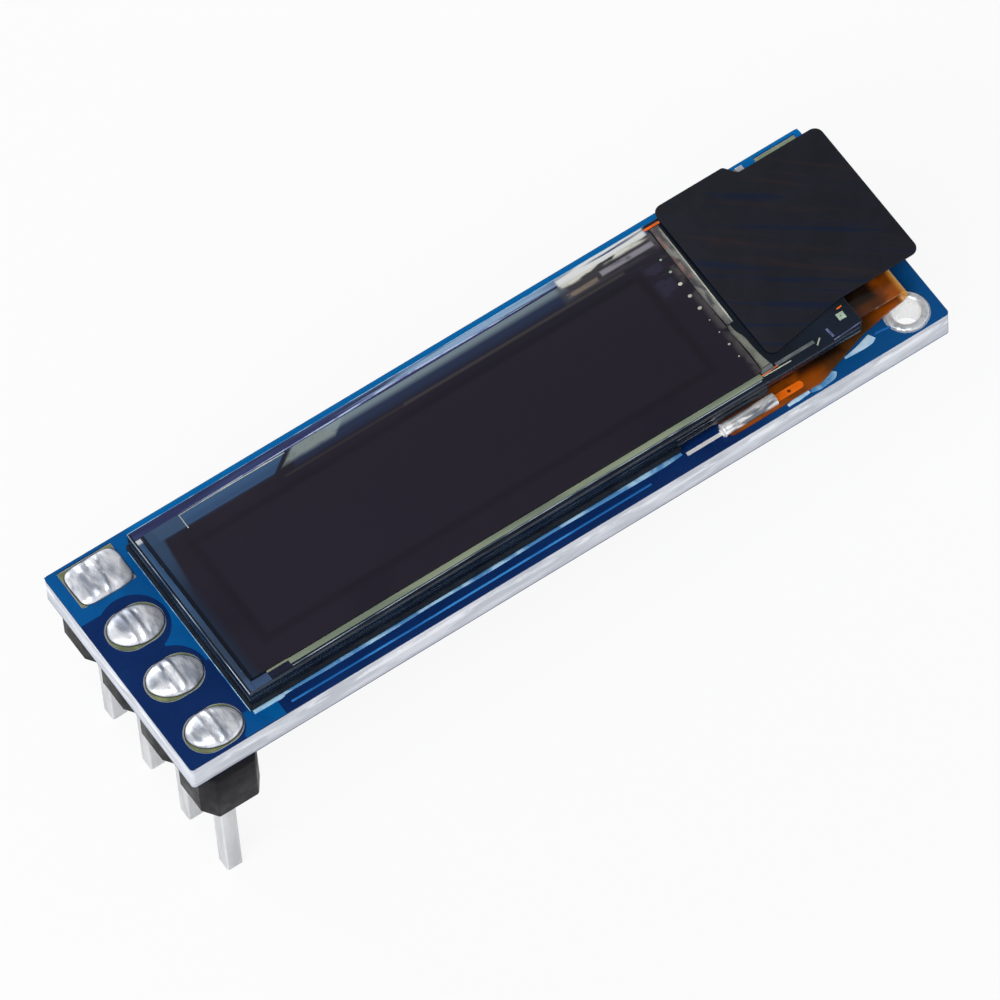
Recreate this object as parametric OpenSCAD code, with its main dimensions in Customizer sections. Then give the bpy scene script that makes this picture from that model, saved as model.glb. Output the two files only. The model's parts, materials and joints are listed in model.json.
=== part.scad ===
// Small OLED display module: a blue circuit board that carries a glass display, its folded
// flex cable and a four-pin header. +Z is up, out of the display's face. The origin is the
// middle of the pin row, on the plane where the header's housing seats on its socket.

/* [Board] */
// Board that shows past the front glass, at the right end
board_end = 3.1; // [3:0.1:4]
// Board that shows on each side of the display
board_side = 0.825; // [0.8:0.025:2]
// Thickness of the bare laminate
core_t = 1.2; // [0.6:0.1:2]
// Thickness of the solder mask, and of the copper lands in its windows
mask_t = 0.05; // [0.03:0.01:0.06]
// Gap between a land and the edge of its mask window
mask_gap = 0.05; // [0.02:0.01:0.1]
// Radius of the board's corners
board_corner_r = 0.15; // [0.05:0.05:0.5]
// Distance from the board's left end to the pin row
row_inset = 1.6; // [1.5:0.05:2]

/* [Pin header] */
// Number of pins
pin_count = 4; // [2:1:4]
// Distance between pins
pin_pitch = 2.54; // [2:0.01:2.54]
// Thickness of a square pin
pin_w = 0.64; // [0.4:0.01:0.68]
// Length of a pin below the housing
pin_l = 6; // [2:0.5:12]
// Height that a pin stands above the board, inside its solder
pin_rise = 0.2; // [0.1:0.02:0.24]
// Length of the bevel at a pin's ends
pin_bevel = 0.12; // [0.02:0.02:0.2]
// Width of the housing, along X
housing_w = 2.5; // [2:0.05:3]
// Height of the housing
housing_h = 2.5; // [1:0.1:9]
// How far the notches between the units cut in, along X
notch_depth = 0.42; // [0.1:0.02:0.7]
// How far each notch reaches along its unit, along Y
notch_reach = 0.6; // [0.1:0.05:0.8]

/* [Pin lands and solder] */
// Length of a pin's land, along X
land_l = 2.2; // [1.8:0.05:2.5]
// Width of a pin's land, along Y
land_w = 1.65; // [1.4:0.05:1.9]
// Diameter of the drilled holes for the pins
pin_drill_d = 1.1; // [1.1:0.02:1.2]
// Thickness of the copper on the walls of the plated holes
plating_t = 0.05; // [0.03:0.01:0.06]
// Distance between a land's rim and its solder joint
solder_inset = 0.08; // [0.04:0.01:0.15]
// Height of the sheared top of a solder joint
joint_h = 0.36; // [0.34:0.01:0.44]
// Height that a joint's crown would have if it weren't sheared
crown_h = 0.45; // [0.45:0.01:0.6]
// Radius of the grooves across a joint's top
groove_r = 0.12; // [0.06:0.02:0.16]
// Depth of those grooves
groove_depth = 0.05; // [0.02:0.01:0.07]

/* [Corner eyelet] */
// Radius of the eyelet's bore
eyelet_r = 0.53; // [0.4:0.01:0.58]
// Thickness of the eyelet's barrel, inside the drilled hole
eyelet_wall = 0.16; // [0.1:0.01:0.18]
// Radius of the eyelet's rim
eyelet_rim_r = 0.84; // [0.8:0.01:0.95]
// Height of the eyelet's rounded rim above the mask
eyelet_rim_h = 0.1; // [0.04:0.01:0.2]
// Distance from the board's right end to the eyelet's centre
eyelet_inset = 1.25; // [1.2:0.05:1.4]
// Distance from the board's near side to the eyelet's centre
eyelet_side = 0.95; // [0.95:0.05:1.2]

/* [Display] */
// Board that shows between its left end and the display
display_start = 3.1; // [3.05:0.05:3.3]
// Length of the front glass
glass_l = 26.4; // [24:0.1:32]
// Width of both glasses
glass_w = 8; // [7.6:0.1:9]
// Thickness of the front glass
glass_t = 0.4; // [0.3:0.05:0.7]
// Length of the ledge that the front glass has past the cover glass
ledge_l = 4.2; // [4:0.1:4.5]
// Size of the chamfers at the ledge's corners
ledge_chamfer = 0.2; // [0.05:0.05:0.4]
// Thickness of the cover glass under the front glass
cover_t = 0.35; // [0.3:0.05:0.7]
// Gap between the two glasses, filled by the seal at its rim
seal_gap = 0.05; // [0.05:0.01:0.1]
// Width of the seal
seal_w = 0.5; // [0.3:0.05:0.7]
// Distance from the cover glass's edge to the seal
seal_inset = 0.15; // [0.05:0.05:0.2]
// Distance from the front glass's left end to the light-emitting layer
emitter_start = 2.1; // [1.2:0.1:2.5]
// Distance from the cover glass's right end back to the light-emitting layer
emitter_end = 1.9; // [1:0.1:2.5]
// Distance from the glass's sides to the light-emitting layer
emitter_inset = 1.55; // [1:0.05:2.5]
// Thickness of the light-emitting layer and of the electrodes
film_t = 0.03; // [0.01:0.01:0.04]
// Width of the electrode strip along the display's near side
strip_w = 0.35; // [0.2:0.05:0.4]
// Distance from the front glass's near side to the electrode strip
strip_inset = 0.4; // [0.3:0.05:0.5]
// Width of the thin electrode line near the display's far left corner
line_w = 0.06; // [0.04:0.01:0.1]
// Length of that line, along X
line_l = 1.2; // [0.8:0.1:2]
// How far that line turns in, along Y
line_turn = 0.7; // [0.4:0.1:0.9]
// Distance from the front glass's left end to that line
line_start = 1.95; // [1.2:0.05:2.5]
// Distance from the front glass's far side to that line
line_inset = 0.2; // [0.15:0.05:0.4]
// Thickness of the polarizer
polarizer_t = 0.15; // [0.1:0.01:0.3]
// Bare glass between the front glass's left end and the polarizer
polarizer_start = 0.32; // [0.2:0.02:0.4]
// Bare glass on each side of the polarizer
polarizer_inset = 0.45; // [0.3:0.05:0.75]
// How far the polarizer reaches past the cover glass's right end
polarizer_lap = 0.02; // [0:0.02:0.2]
// Thickness of the adhesive pad under the display
adhesive_t = 0.35; // [0.33:0.01:0.6]
// Distance from the cover glass's right end back to the adhesive pad
adhesive_end_gap = 3.85; // [3.6:0.05:6]
// How far the adhesive pad shows past the glass, at its left end and both sides
adhesive_lip = 0.05; // [0.01:0.01:0.1]

/* [Driver chip] */
// Size of the driver chip along X
chip_l = 1.35; // [0.8:0.05:1.5]
// Size of the driver chip along Y
chip_w = 6.7; // [5:0.1:7]
// Thickness of the driver chip
chip_t = 0.28; // [0.1:0.02:0.3]
// Distance from the cover glass's end to the driver chip
chip_start = 1; // [0.6:0.05:1.1]

/* [Flex cable] */
// Thickness of the flex cable
flex_t = 0.1; // [0.06:0.01:0.12]
// Length of the flex that is bonded under the ledge
flex_bond_l = 1.2; // [0.8:0.05:1.3]
// How far the fold reaches past the front glass
flex_reach = 2.2; // [1.6:0.05:2.3]
// How much narrower than the glass the upper leaf and the fold are, on each side
flex_inset = 0.7; // [0.6:0.05:1]
// How far the lower leaf has widened, on each side, where its taper starts
flex_step = 0.27; // [0.1:0.01:0.35]
// Gap between the lower leaf and the eyelet's rim that it crosses
flex_clear = 0.02; // [0.02:0.01:0.05]
// Length over which the lower leaf rises from the board, before it crosses the rim
flex_rise_l = 0.6; // [0.4:0.05:0.8]
// Distance from the outermost finger's centre to the tail's side
tail_margin = 0.35; // [0.25:0.01:0.36]
// Length of the tail at full width
tail_l = 4; // [3.8:0.1:4.2]
// Length over which the lower leaf widens into the tail
tail_taper_l = 2.4; // [2:0.1:2.6]
// Distance from the tail's end to the adhesive pad
tail_gap = 1.75; // [1.7:0.05:2]
// Radius of the tail's corners
tail_corner_r = 0.3; // [0.1:0.05:0.4]

/* [Flex fingers] */
// Distance between fingers; the row holds as many as the glass's width has room for
finger_pitch = 0.62; // [0.55:0.01:0.8]
// Width of a finger, on the flex and on the board
finger_w = 0.3; // [0.2:0.01:0.32]
// Thickness of a finger's copper on the flex
finger_t = 0.03; // [0.01:0.01:0.05]
// Length of a finger on the flex
finger_l = 3.4; // [3.2:0.1:3.6]
// Radius of the hole near a finger's end
finger_hole_r = 0.08; // [0.04:0.01:0.1]
// Distance from a finger's rounded end to its hole
finger_hole_inset = 0.6; // [0.3:0.05:0.7]
// Distance from the front glass's near side out to the nearest finger's centre
finger_side = 0.22; // [0.2:0.01:0.25]
// Least distance from the front glass's far side in to the farthest finger's centre
finger_far_inset = 0.1; // [0.05:0.01:0.3]
// Length of a finger's land on the board that shows past the tail
finger_land_l = 1.6; // [0.8:0.05:1.6]
// Length of the land under the tail
finger_land_lap = 2; // [1:0.1:2.4]
// Length of the solder on a finger
solder_l = 2.3; // [2:0.1:2.5]
// How far the solder reaches past the tail's end, onto the board's land
solder_lap = 0.1; // [0.05:0.05:0.4]
// Width of the solder on a finger
solder_w = 0.38; // [0.34:0.01:0.4]
// Height of the solder above the board
solder_h = 0.28; // [0.24:0.01:0.3]
// Width of the solder on the nearest finger, which lies outside the glass
near_solder_w = 0.5; // [0.4:0.02:0.54]
// Height of the solder on the nearest finger
near_solder_h = 0.38; // [0.3:0.01:0.4]

/* [Shield tape] */
// Thickness of the black tape
tape_t = 0.1; // [0.05:0.01:0.2]
// Bare glass between the polarizer and the tape
tape_gap = 0.6; // [0.4:0.05:0.7]
// How far the tape hangs past the board's right end
tape_overhang = 0.25; // [0:0.05:0.5]
// How far the tape's wide part hangs past the glass, on the far side
tape_far_lap = 0.35; // [0.1:0.05:0.45]
// Glass left bare along the near side, at the tape's left end
tape_near_gap = 0.75; // [0.5:0.05:1]
// Length of the tape's wide part
tape_wide_l = 3.1; // [2.6:0.1:3.4]
// How far the tape steps in, past its wide part, on the far side
tape_far_step = 0.5; // [0.2:0.05:0.6]
// How far the tape slants in along its wide part, on the near side
tape_near_slant = 0.6; // [0.3:0.05:0.7]
// Radius of the tape's corners
tape_r = 0.35; // [0.1:0.05:0.38]

/* [Parts on the board] */
// Length of the chip capacitors and resistors on the underside
part_l = 1.6; // [1:0.1:2]
// Width of the chip capacitors and resistors on the underside
part_w = 0.8; // [0.5:0.1:1.2]
// Height of the capacitors
cap_h = 0.8; // [0.3:0.05:1.2]
// Height of the resistors
res_h = 0.45; // [0.25:0.05:0.6]
// Distance from the pin row to the first of them
part_start = 5.2; // [4:0.1:6]
// Distance between them
part_pitch = 3; // [2.6:0.1:3.2]
// Distance from the board's sides to their centres
part_inset = 2.2; // [1.5:0.1:2.6]
// Number of capacitors
cap_count = 5; // [1:1:5]
// Number of resistors
res_count = 4; // [1:1:5]
// Length of the small capacitor beside the flex
small_cap_l = 1; // [0.8:0.05:1]
// Width of the small capacitor
small_cap_w = 0.5; // [0.3:0.05:0.5]
// Height of the small capacitor
small_cap_h = 0.35; // [0.2:0.05:0.6]
// Length of a metal end on a chip part
end_l = 0.3; // [0.2:0.02:0.32]
// How far the metal ends stand proud of a chip part's body
end_wrap = 0.02; // [0.01:0.01:0.04]
// How far a land reaches past the metal end or leg that is soldered to it
land_margin = 0.1; // [0.05:0.01:0.15]
// Distance from the board's right end to the small capacitor
small_cap_inset = 2.65; // [2.55:0.05:2.9]
// Distance from the board's far side to the small capacitor
small_cap_side = 0.3; // [0.15:0.05:0.35]
// Length of the tinned land beside the small capacitor
far_land_l = 1.7; // [1:0.1:1.8]
// Width of that land
far_land_w = 0.6; // [0.3:0.05:0.8]
// Distance from the board's far side to that land
far_land_side = 0.2; // [0.15:0.05:0.3]
// Distance from the board's right end to that land
far_land_inset = 0.3; // [0.2:0.05:0.5]
// Length of the regulator's body
reg_l = 2.9; // [2.6:0.1:3.2]
// Width of the regulator's body
reg_w = 1.3; // [1.2:0.1:1.8]
// Height of the regulator
reg_h = 1; // [0.8:0.05:1.3]
// Distance from the board's right end to the regulator's centre
reg_inset = 8.4; // [6:0.1:9]
// Width of the regulator's legs
leg_w = 0.4; // [0.3:0.02:0.5]
// Thickness of the regulator's legs
leg_t = 0.15; // [0.1:0.01:0.2]
// How far the legs reach out of the regulator's sides
leg_reach = 0.55; // [0.4:0.05:0.8]
// Distance between the regulator's two legs on one side
reg_pitch = 1.9; // [1.6:0.05:2.2]
// Gap between the board and the regulator's body
reg_gap = 0.05; // [0.02:0.01:0.1]

/* [Hidden] */
$fn = 48;

// How far cutting shapes reach past what they cut
past = 1;

// Heights
seat_z = 0;
under_z = seat_z + housing_h;
core_z = under_z + mask_t;
mask_z = core_z + core_t;
top_z = mask_z + mask_t;
cover_z = top_z + adhesive_t;
gap_z = cover_z + cover_t;
glass_z = gap_z + seal_gap;
face_z = glass_z + glass_t;

// Board
left_x = -row_inset;
right_x = left_x + display_start + glass_l + board_end;
far_y = glass_w / 2 + board_side;
near_y = -far_y;
pin_drill_r = pin_drill_d / 2;
pin_hole_r = pin_drill_r - plating_t;

// Eyelet
eyelet_x = right_x - eyelet_inset;
eyelet_y = near_y + eyelet_side;
eyelet_drill_r = eyelet_r + eyelet_wall;
eyelet_crest_r = (eyelet_r + eyelet_rim_r) / 2;

// Display
glass_x = left_x + display_start;
glass_end = glass_x + glass_l;
cover_end = glass_end - ledge_l;
polarizer_end = cover_end + polarizer_lap;
emitter_x = glass_x + emitter_start;
adhesive_end = cover_end - adhesive_end_gap;
seal_outer_x = [glass_x + seal_inset, cover_end - seal_inset];
seal_outer_w = glass_w - 2 * seal_inset;
line_x = glass_x + line_start;
line_far_y = glass_w / 2 - line_inset;

// Flex
tail_x = adhesive_end + tail_gap;
tail_end = tail_x + tail_l;
taper_end = tail_end + tail_taper_l;
fold_x = glass_end + flex_reach;
flex_top = glass_z - top_z;
flex_lift = eyelet_rim_h + flex_clear;
fold_r = (flex_top - flex_lift) / 2;
rise_end = eyelet_x - eyelet_rim_r - flex_clear;
finger_steps = floor((glass_w + finger_side - finger_far_inset) / finger_pitch);
near_finger_y = -(glass_w / 2 + finger_side);
far_finger_y = near_finger_y + finger_steps * finger_pitch;
flex_neck_w = glass_w - 2 * flex_inset;
flex_y = (near_finger_y + far_finger_y) / 2;
tail_w = far_finger_y - near_finger_y + 2 * tail_margin;
finger_end = tail_x + finger_l;
solder_start = tail_x - solder_lap;

// Tape
tape_x = polarizer_end + tape_gap;
tape_end = right_x + tape_overhang;
tape_far_y = glass_w / 2 + tape_far_lap;
tape_near_y = -glass_w / 2 + tape_near_gap;

// Parts on the board: centres of the small capacitor, of the rows and of the regulator with its feet
small_cap_at = [right_x - small_cap_inset - small_cap_l / 2, far_y - small_cap_side - small_cap_w / 2];
cap_places = [for (i = [0 : cap_count - 1]) [part_start + i * part_pitch, far_y - part_inset]];
res_places = [for (i = [0 : res_count - 1]) [part_start + i * part_pitch, near_y + part_inset]];
reg_x = right_x - reg_inset;
reg_leg_y = (reg_w + leg_reach) / 2;
reg_legs = [[reg_x - reg_pitch / 2, -reg_leg_y], [reg_x + reg_pitch / 2, -reg_leg_y], [reg_x, reg_leg_y]];

function pin_y(i) = ((pin_count - 1) / 2 - i) * pin_pitch;
function finger_y(i) = near_finger_y + i * finger_pitch;

// Points of a closed outline whose corners [x, y, radius] are rounded by arcs
function rounded(corners, steps = 8) =
    [for (i = [0 : len(corners) - 1])
        let (n = len(corners),
             c = corners[i],
             p = [c[0], c[1]],
             a = corners[(i + n - 1) % n],
             b = corners[(i + 1) % n],
             u = ([a[0], a[1]] - p) / norm([a[0], a[1]] - p),
             v = ([b[0], b[1]] - p) / norm([b[0], b[1]] - p),
             half = acos(u * v) / 2,
             bisector = (u + v) / norm(u + v),
             centre = p + bisector * c[2] / sin(half),
             start = p + u * c[2] / tan(half) - centre,
             turn = (u[0] * v[1] - u[1] * v[0] > 0 ? -1 : 1) * (180 - 2 * half))
        for (k = [0 : steps])
            let (t = turn * k / steps)
            centre + [start[0] * cos(t) - start[1] * sin(t),
                      start[0] * sin(t) + start[1] * cos(t)]];

// Radius of a circle in which a chord of width w stands h high
function cap_radius(w, h) = (w * w / 4 + h * h) / (2 * h);

// A flat plate with its left near corner at the given place
module plate(at, size) {
    translate(at) cube(size);
}

// A plate that lies on z, from x0 to x1, centred on y
module strip(x0, x1, y, w, z, t) {
    plate([x0, y - w / 2, z], [x1 - x0, w, t]);
}

// The board's outline, extruded from z by t
module board_slab(z, t) {
    r = board_corner_r;
    corners = [[left_x, near_y, r], [right_x, near_y, r], [right_x, far_y, r], [left_x, far_y, r]];
    translate([0, 0, z]) linear_extrude(t) polygon(rounded(corners));
}

// A land for a pin, grown by extra all round: the first is a rectangle, the others have round ends
module pin_land_shape(i, extra, z, t) {
    l = land_l + 2 * extra;
    w = land_w + 2 * extra;
    translate([0, pin_y(i), z])
        if (i == 0)
            plate([-l / 2, -w / 2, 0], [l, w, t]);
        else {
            plate([-(l - w) / 2, -w / 2, 0], [l - w, w, t]);
            for (side = [-1, 1]) translate([side * (l - w) / 2, 0, 0]) cylinder(h = t, d = w);
        }
}

// The holes that are drilled right through the board
module drillings() {
    through = top_z - under_z + 2 * past;
    for (i = [0 : pin_count - 1])
        translate([0, pin_y(i), under_z - past]) cylinder(h = through, r = pin_drill_r);
    translate([eyelet_x, eyelet_y, under_z - past]) cylinder(h = through, r = eyelet_drill_r);
}

module board_core() {
    color("gainsboro") difference() {
        board_slab(core_z, core_t);
        drillings();
    }
}

// A layer of solder mask; the windows over its lands are cut out of it
module solder_mask(z) {
    color("royalblue") difference() {
        board_slab(z, mask_t);
        translate([0, 0, z - past]) {
            for (i = [0 : pin_count - 1]) pin_land_shape(i, mask_gap, 0, mask_t + 2 * past);
            translate([eyelet_x, eyelet_y, 0])
                cylinder(h = mask_t + 2 * past, r = eyelet_rim_r + mask_gap);
            children();
        }
    }
}

module solder_mask_top() {
    depth = mask_t + 2 * past;
    solder_mask(mask_z) {
        finger_land_shapes(mask_gap, 0, depth);
        chip_lands(small_cap_at, small_cap_l, small_cap_w, mask_gap, 0, depth);
        far_land_shape(mask_gap, 0, depth);
    }
}

module solder_mask_bottom() {
    solder_mask(under_z) back_land_shapes(mask_gap, 0, mask_t + 2 * past);
}

// A plated hole: a land on each face and the copper wall between them
module pin_land(i) {
    color("darkkhaki") difference() {
        union() {
            pin_land_shape(i, 0, under_z, mask_t);
            pin_land_shape(i, 0, mask_z, mask_t);
            translate([0, pin_y(i), under_z]) cylinder(h = top_z - under_z, r = pin_drill_r);
        }
        translate([0, pin_y(i), under_z - past])
            cylinder(h = top_z - under_z + 2 * past, r = pin_hole_r);
    }
}

// A square pin with a bevel at each end
module square_pin(i) {
    bottom = seat_z - pin_l;
    top = top_z + pin_rise;
    translate([0, pin_y(i), 0]) {
        translate([-pin_w / 2, -pin_w / 2, bottom + pin_bevel])
            cube([pin_w, pin_w, top - bottom - 2 * pin_bevel]);
        translate([0, 0, top - pin_bevel]) pin_tip();
        translate([0, 0, bottom + pin_bevel]) mirror([0, 0, 1]) pin_tip();
    }
}

// The bevelled end of a square pin
module pin_tip() {
    linear_extrude(pin_bevel, scale = (pin_w - pin_bevel) / pin_w) square(pin_w, center = true);
}

module header_pin(i) {
    color("silver") square_pin(i);
}

// One unit of the housing: a block with a bevelled notch at each corner
module housing_unit() {
    x = housing_w / 2;
    y = pin_pitch / 2;
    linear_extrude(housing_h)
        polygon([[-x, y - notch_reach], [-x + notch_depth, y], [x - notch_depth, y],
                 [x, y - notch_reach], [x, -y + notch_reach], [x - notch_depth, -y],
                 [-x + notch_depth, -y], [-x, -y + notch_reach]]);
}

module header_housing() {
    color("dimgray") difference() {
        for (i = [0 : pin_count - 1]) translate([0, pin_y(i), seat_z]) housing_unit();
        for (i = [0 : pin_count - 1])
            strip(-pin_w / 2, pin_w / 2, pin_y(i), pin_w, seat_z - past, housing_h + 2 * past);
    }
}

// A dome of solder around a pin, sheared flat on top with two grooves across it
module solder_joint(i) {
    l = land_l - 2 * solder_inset;
    w = land_w - 2 * solder_inset;
    r = cap_radius(w, crown_h);
    end_x = (l - w) / 2;
    groove_z = joint_h + groove_r - groove_depth;
    color("lightgray") difference() {
        translate([0, pin_y(i), top_z]) {
            intersection() {
                translate([0, 0, crown_h - r]) {
                    for (side = [-1, 1]) translate([side * end_x, 0, 0]) sphere(r);
                    translate([-end_x, 0, 0]) rotate([0, 90, 0]) cylinder(h = 2 * end_x, r = r);
                }
                plate([-l, -w, 0], [2 * l, 2 * w, joint_h]);
            }
            translate([0, 0, under_z - top_z]) cylinder(h = top_z - under_z, r = pin_hole_r);
        }
        square_pin(i);
        translate([0, pin_y(i), top_z + groove_z]) for (side = [-1, 1])
            translate([side * (end_x + groove_r), 0, 0]) rotate([90, 0, 0])
                cylinder(h = 2 * w, r = groove_r, center = true);
    }
}

// A metal eyelet in the corner hole, with a rounded rim of solder on its top land
module corner_eyelet() {
    steps = 8;
    rim = [for (k = [0 : steps])
        let (t = 180 * k / steps)
        [eyelet_crest_r + (eyelet_rim_r - eyelet_crest_r) * cos(t), top_z + eyelet_rim_h * sin(t)]];
    color("silver") translate([eyelet_x, eyelet_y, 0]) rotate_extrude()
        polygon(concat(rim, [[eyelet_r, under_z], [eyelet_rim_r, under_z], [eyelet_rim_r, core_z],
                             [eyelet_drill_r, core_z], [eyelet_drill_r, mask_z], [eyelet_rim_r, mask_z]]));
}

module adhesive_pad() {
    color("lightblue")
        strip(glass_x - adhesive_lip, adhesive_end, 0, glass_w + 2 * adhesive_lip, top_z, adhesive_t);
}

module cover_glass() {
    color("slategray", 0.6) strip(glass_x, cover_end, 0, glass_w, cover_z, cover_t);
}

// The strip along the near side and the hooked line near the far left corner
module electrode_shapes() {
    z = glass_z - film_t;
    strip(emitter_x, seal_outer_x[1], strip_inset + strip_w / 2 - glass_w / 2, strip_w, z, film_t);
    plate([line_x, line_far_y - line_w, z], [line_l, line_w, film_t]);
    plate([line_x, line_far_y - line_turn, z], [line_w, line_turn, film_t]);
}

// The glue frame between the glasses, which flows round the electrodes
module display_seal() {
    color("white", 0.6) difference() {
        strip(seal_outer_x[0], seal_outer_x[1], 0, seal_outer_w, gap_z, seal_gap);
        strip(seal_outer_x[0] + seal_w, seal_outer_x[1] - seal_w, 0,
              seal_outer_w - 2 * seal_w, gap_z - past, seal_gap + 2 * past);
        electrode_shapes();
    }
}

module light_layer() {
    color("black")
        strip(emitter_x, cover_end - emitter_end, 0, glass_w - 2 * emitter_inset, glass_z - film_t, film_t);
}

module electrodes() {
    color("darkseagreen") electrode_shapes();
}

// The glass that one looks through, with chamfers at the corners of its ledge
module front_glass() {
    y = glass_w / 2;
    c = ledge_chamfer;
    color("lightslategray", 0.5) translate([0, 0, glass_z]) linear_extrude(glass_t)
        polygon([[glass_x, -y], [glass_end - c, -y], [glass_end, c - y],
                 [glass_end, y - c], [glass_end - c, y], [glass_x, y]]);
}

module polarizer() {
    w = glass_w - 2 * polarizer_inset;
    color("midnightblue") strip(glass_x + polarizer_start, polarizer_end, 0, w, face_z, polarizer_t);
}

module driver_chip() {
    start = cover_end + chip_start;
    color("darkslategray") strip(start, start + chip_l, 0, chip_w, glass_z - chip_t, chip_t);
}

// Side view of the folded flex: bonded upper leaf, half-round fold and lower leaf on the board
module flex_side_view() {
    centre = [fold_x - fold_r, flex_lift + fold_r];
    rise_start = rise_end - flex_rise_l;
    bond_x = glass_end - flex_bond_l;
    translate(centre) difference() {
        circle(fold_r);
        circle(fold_r - flex_t);
        translate([-2 * fold_r, -fold_r]) square([2 * fold_r, 2 * fold_r]);
    }
    translate([bond_x, flex_top - flex_t]) square([centre[0] - bond_x, flex_t]);
    polygon([[tail_x, 0], [rise_start, 0], [rise_end, flex_lift], [centre[0], flex_lift],
             [centre[0], flex_lift + flex_t], [rise_end, flex_lift + flex_t],
             [rise_start, flex_t], [tail_x, flex_t]]);
}

// The flex's shape from above: a straight neck over a tail that widens towards its fingers
module flex_plan() {
    middle_z = top_z + flex_lift + fold_r;
    tail_side = tail_w / 2;
    leaf_side = flex_neck_w / 2 + flex_step;
    neck_side = flex_neck_w / 2;
    r = tail_corner_r;
    lower = [[tail_x, -tail_side, r], [tail_end, -tail_side, r], [taper_end, -leaf_side, r],
             [fold_x, -neck_side, 0], [fold_x, neck_side, 0], [taper_end, leaf_side, r],
             [tail_end, tail_side, r], [tail_x, tail_side, r]];
    strip(tail_x, fold_x + past, flex_y, flex_neck_w, middle_z, flex_top);
    translate([0, flex_y, middle_z - flex_top]) linear_extrude(flex_top) polygon(rounded(lower));
}

module flex_cable() {
    color("chocolate") intersection() {
        translate([0, glass_w, top_z]) rotate([90, 0, 0]) linear_extrude(2 * glass_w) flex_side_view();
        flex_plan();
    }
}

// The copper of the fingers: strips with a round end and a small hole
module flex_fingers() {
    z = top_z + flex_t;
    round_x = finger_end - finger_w / 2;
    color("orange") for (i = [0 : finger_steps]) difference() {
        union() {
            strip(tail_x, round_x, finger_y(i), finger_w, z, finger_t);
            translate([round_x, finger_y(i), z]) cylinder(h = finger_t, d = finger_w);
        }
        translate([finger_end - finger_hole_inset, finger_y(i), z - past])
            cylinder(h = finger_t + 2 * past, r = finger_hole_r);
    }
}

module finger_land_shapes(extra, z, t) {
    for (i = [0 : finger_steps])
        strip(tail_x - finger_land_l - extra, tail_x + finger_land_lap + extra,
              finger_y(i), finger_w + 2 * extra, z, t);
}

module finger_lands() {
    color("silver") finger_land_shapes(0, mask_z, mask_t);
}

// A rounded bead of solder along a finger, from the board's land up over the tail's end
module solder_bead(i, w, h) {
    r = cap_radius(w, h);
    intersection() {
        translate([solder_start, finger_y(i), top_z + h - r])
            rotate([0, 90, 0]) cylinder(h = solder_l, r = r);
        strip(solder_start, solder_start + solder_l, finger_y(i), w, top_z, h);
    }
}

module flex_solder() {
    color("lightgray") for (i = [0 : finger_steps]) difference() {
        if (i == 0)
            solder_bead(i, near_solder_w, near_solder_h);
        else
            solder_bead(i, solder_w, solder_h);
        strip(tail_x, tail_end, finger_y(i), finger_pitch, top_z - past, past + flex_t);
        strip(tail_x, tail_end, finger_y(i), finger_w, top_z, flex_t + finger_t);
    }
}

// Black tape over the ledge and the flex: a wide part on the glass, a narrower one past it
module shield_tape() {
    r = tape_r;
    wide_end = tape_x + tape_wide_l;
    far_in = tape_far_y - tape_far_step;
    near_in = tape_near_y + tape_near_slant;
    color("black") translate([0, 0, face_z]) linear_extrude(tape_t)
        polygon(rounded([[tape_x, tape_near_y, r], [wide_end + r, near_in, r], [tape_end, near_in, r],
                         [tape_end, far_in, r], [wide_end + r, far_in, r / 2], [wide_end, tape_far_y, r / 2],
                         [tape_x, tape_far_y, r]]));
}

// The two lands under a chip part of length l and width w, grown by extra all round
module chip_lands(at, l, w, extra, z, t) {
    land = end_l + 2 * land_margin + 2 * extra;
    for (side = [-1, 1])
        translate([side * (l - end_l) / 2, 0, 0])
            strip(at[0] - land / 2, at[0] + land / 2, at[1], w + 2 * extra, z, t);
}

// The body of a chip part, between its metal ends
module chip_body(at, l, w, h, z) {
    body = l - 2 * end_l;
    strip(at[0] - body / 2, at[0] + body / 2, at[1], w - 2 * end_wrap, z + end_wrap, h - 2 * end_wrap);
}

module chip_ends(at, l, w, h, z) {
    for (side = [-1, 1])
        translate([side * (l - end_l) / 2, 0, 0])
            strip(at[0] - end_l / 2, at[0] + end_l / 2, at[1], w, z, h);
}

module small_capacitor() {
    color("tan") chip_body(small_cap_at, small_cap_l, small_cap_w, small_cap_h, top_z);
}

module small_capacitor_ends() {
    color("silver") {
        chip_ends(small_cap_at, small_cap_l, small_cap_w, small_cap_h, top_z);
        chip_lands(small_cap_at, small_cap_l, small_cap_w, 0, mask_z, mask_t);
    }
}

module far_land_shape(extra, z, t) {
    end = right_x - far_land_inset;
    strip(end - far_land_l - extra, end + extra, far_y - far_land_side - far_land_w / 2,
          far_land_w + 2 * extra, z, t);
}

module far_land() {
    color("darkkhaki") far_land_shape(0, mask_z, mask_t);
}

// Lands of all parts on the board's underside
module back_land_shapes(extra, z, t) {
    leg_land = leg_w + 2 * land_margin + 2 * extra;
    for (at = concat(cap_places, res_places)) chip_lands(at, part_l, part_w, extra, z, t);
    for (leg = reg_legs)
        strip(leg[0] - leg_land / 2, leg[0] + leg_land / 2, leg[1], leg_reach + 2 * extra, z, t);
}

module back_lands() {
    color("silver") back_land_shapes(0, under_z, mask_t);
}

module capacitors() {
    color("tan") for (at = cap_places) chip_body(at, part_l, part_w, cap_h, under_z - cap_h);
}

module capacitor_ends() {
    color("silver") for (at = cap_places) chip_ends(at, part_l, part_w, cap_h, under_z - cap_h);
}

module resistors() {
    color("black") for (at = res_places) chip_body(at, part_l, part_w, res_h, under_z - res_h);
}

module resistor_ends() {
    color("silver") for (at = res_places) chip_ends(at, part_l, part_w, res_h, under_z - res_h);
}

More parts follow.
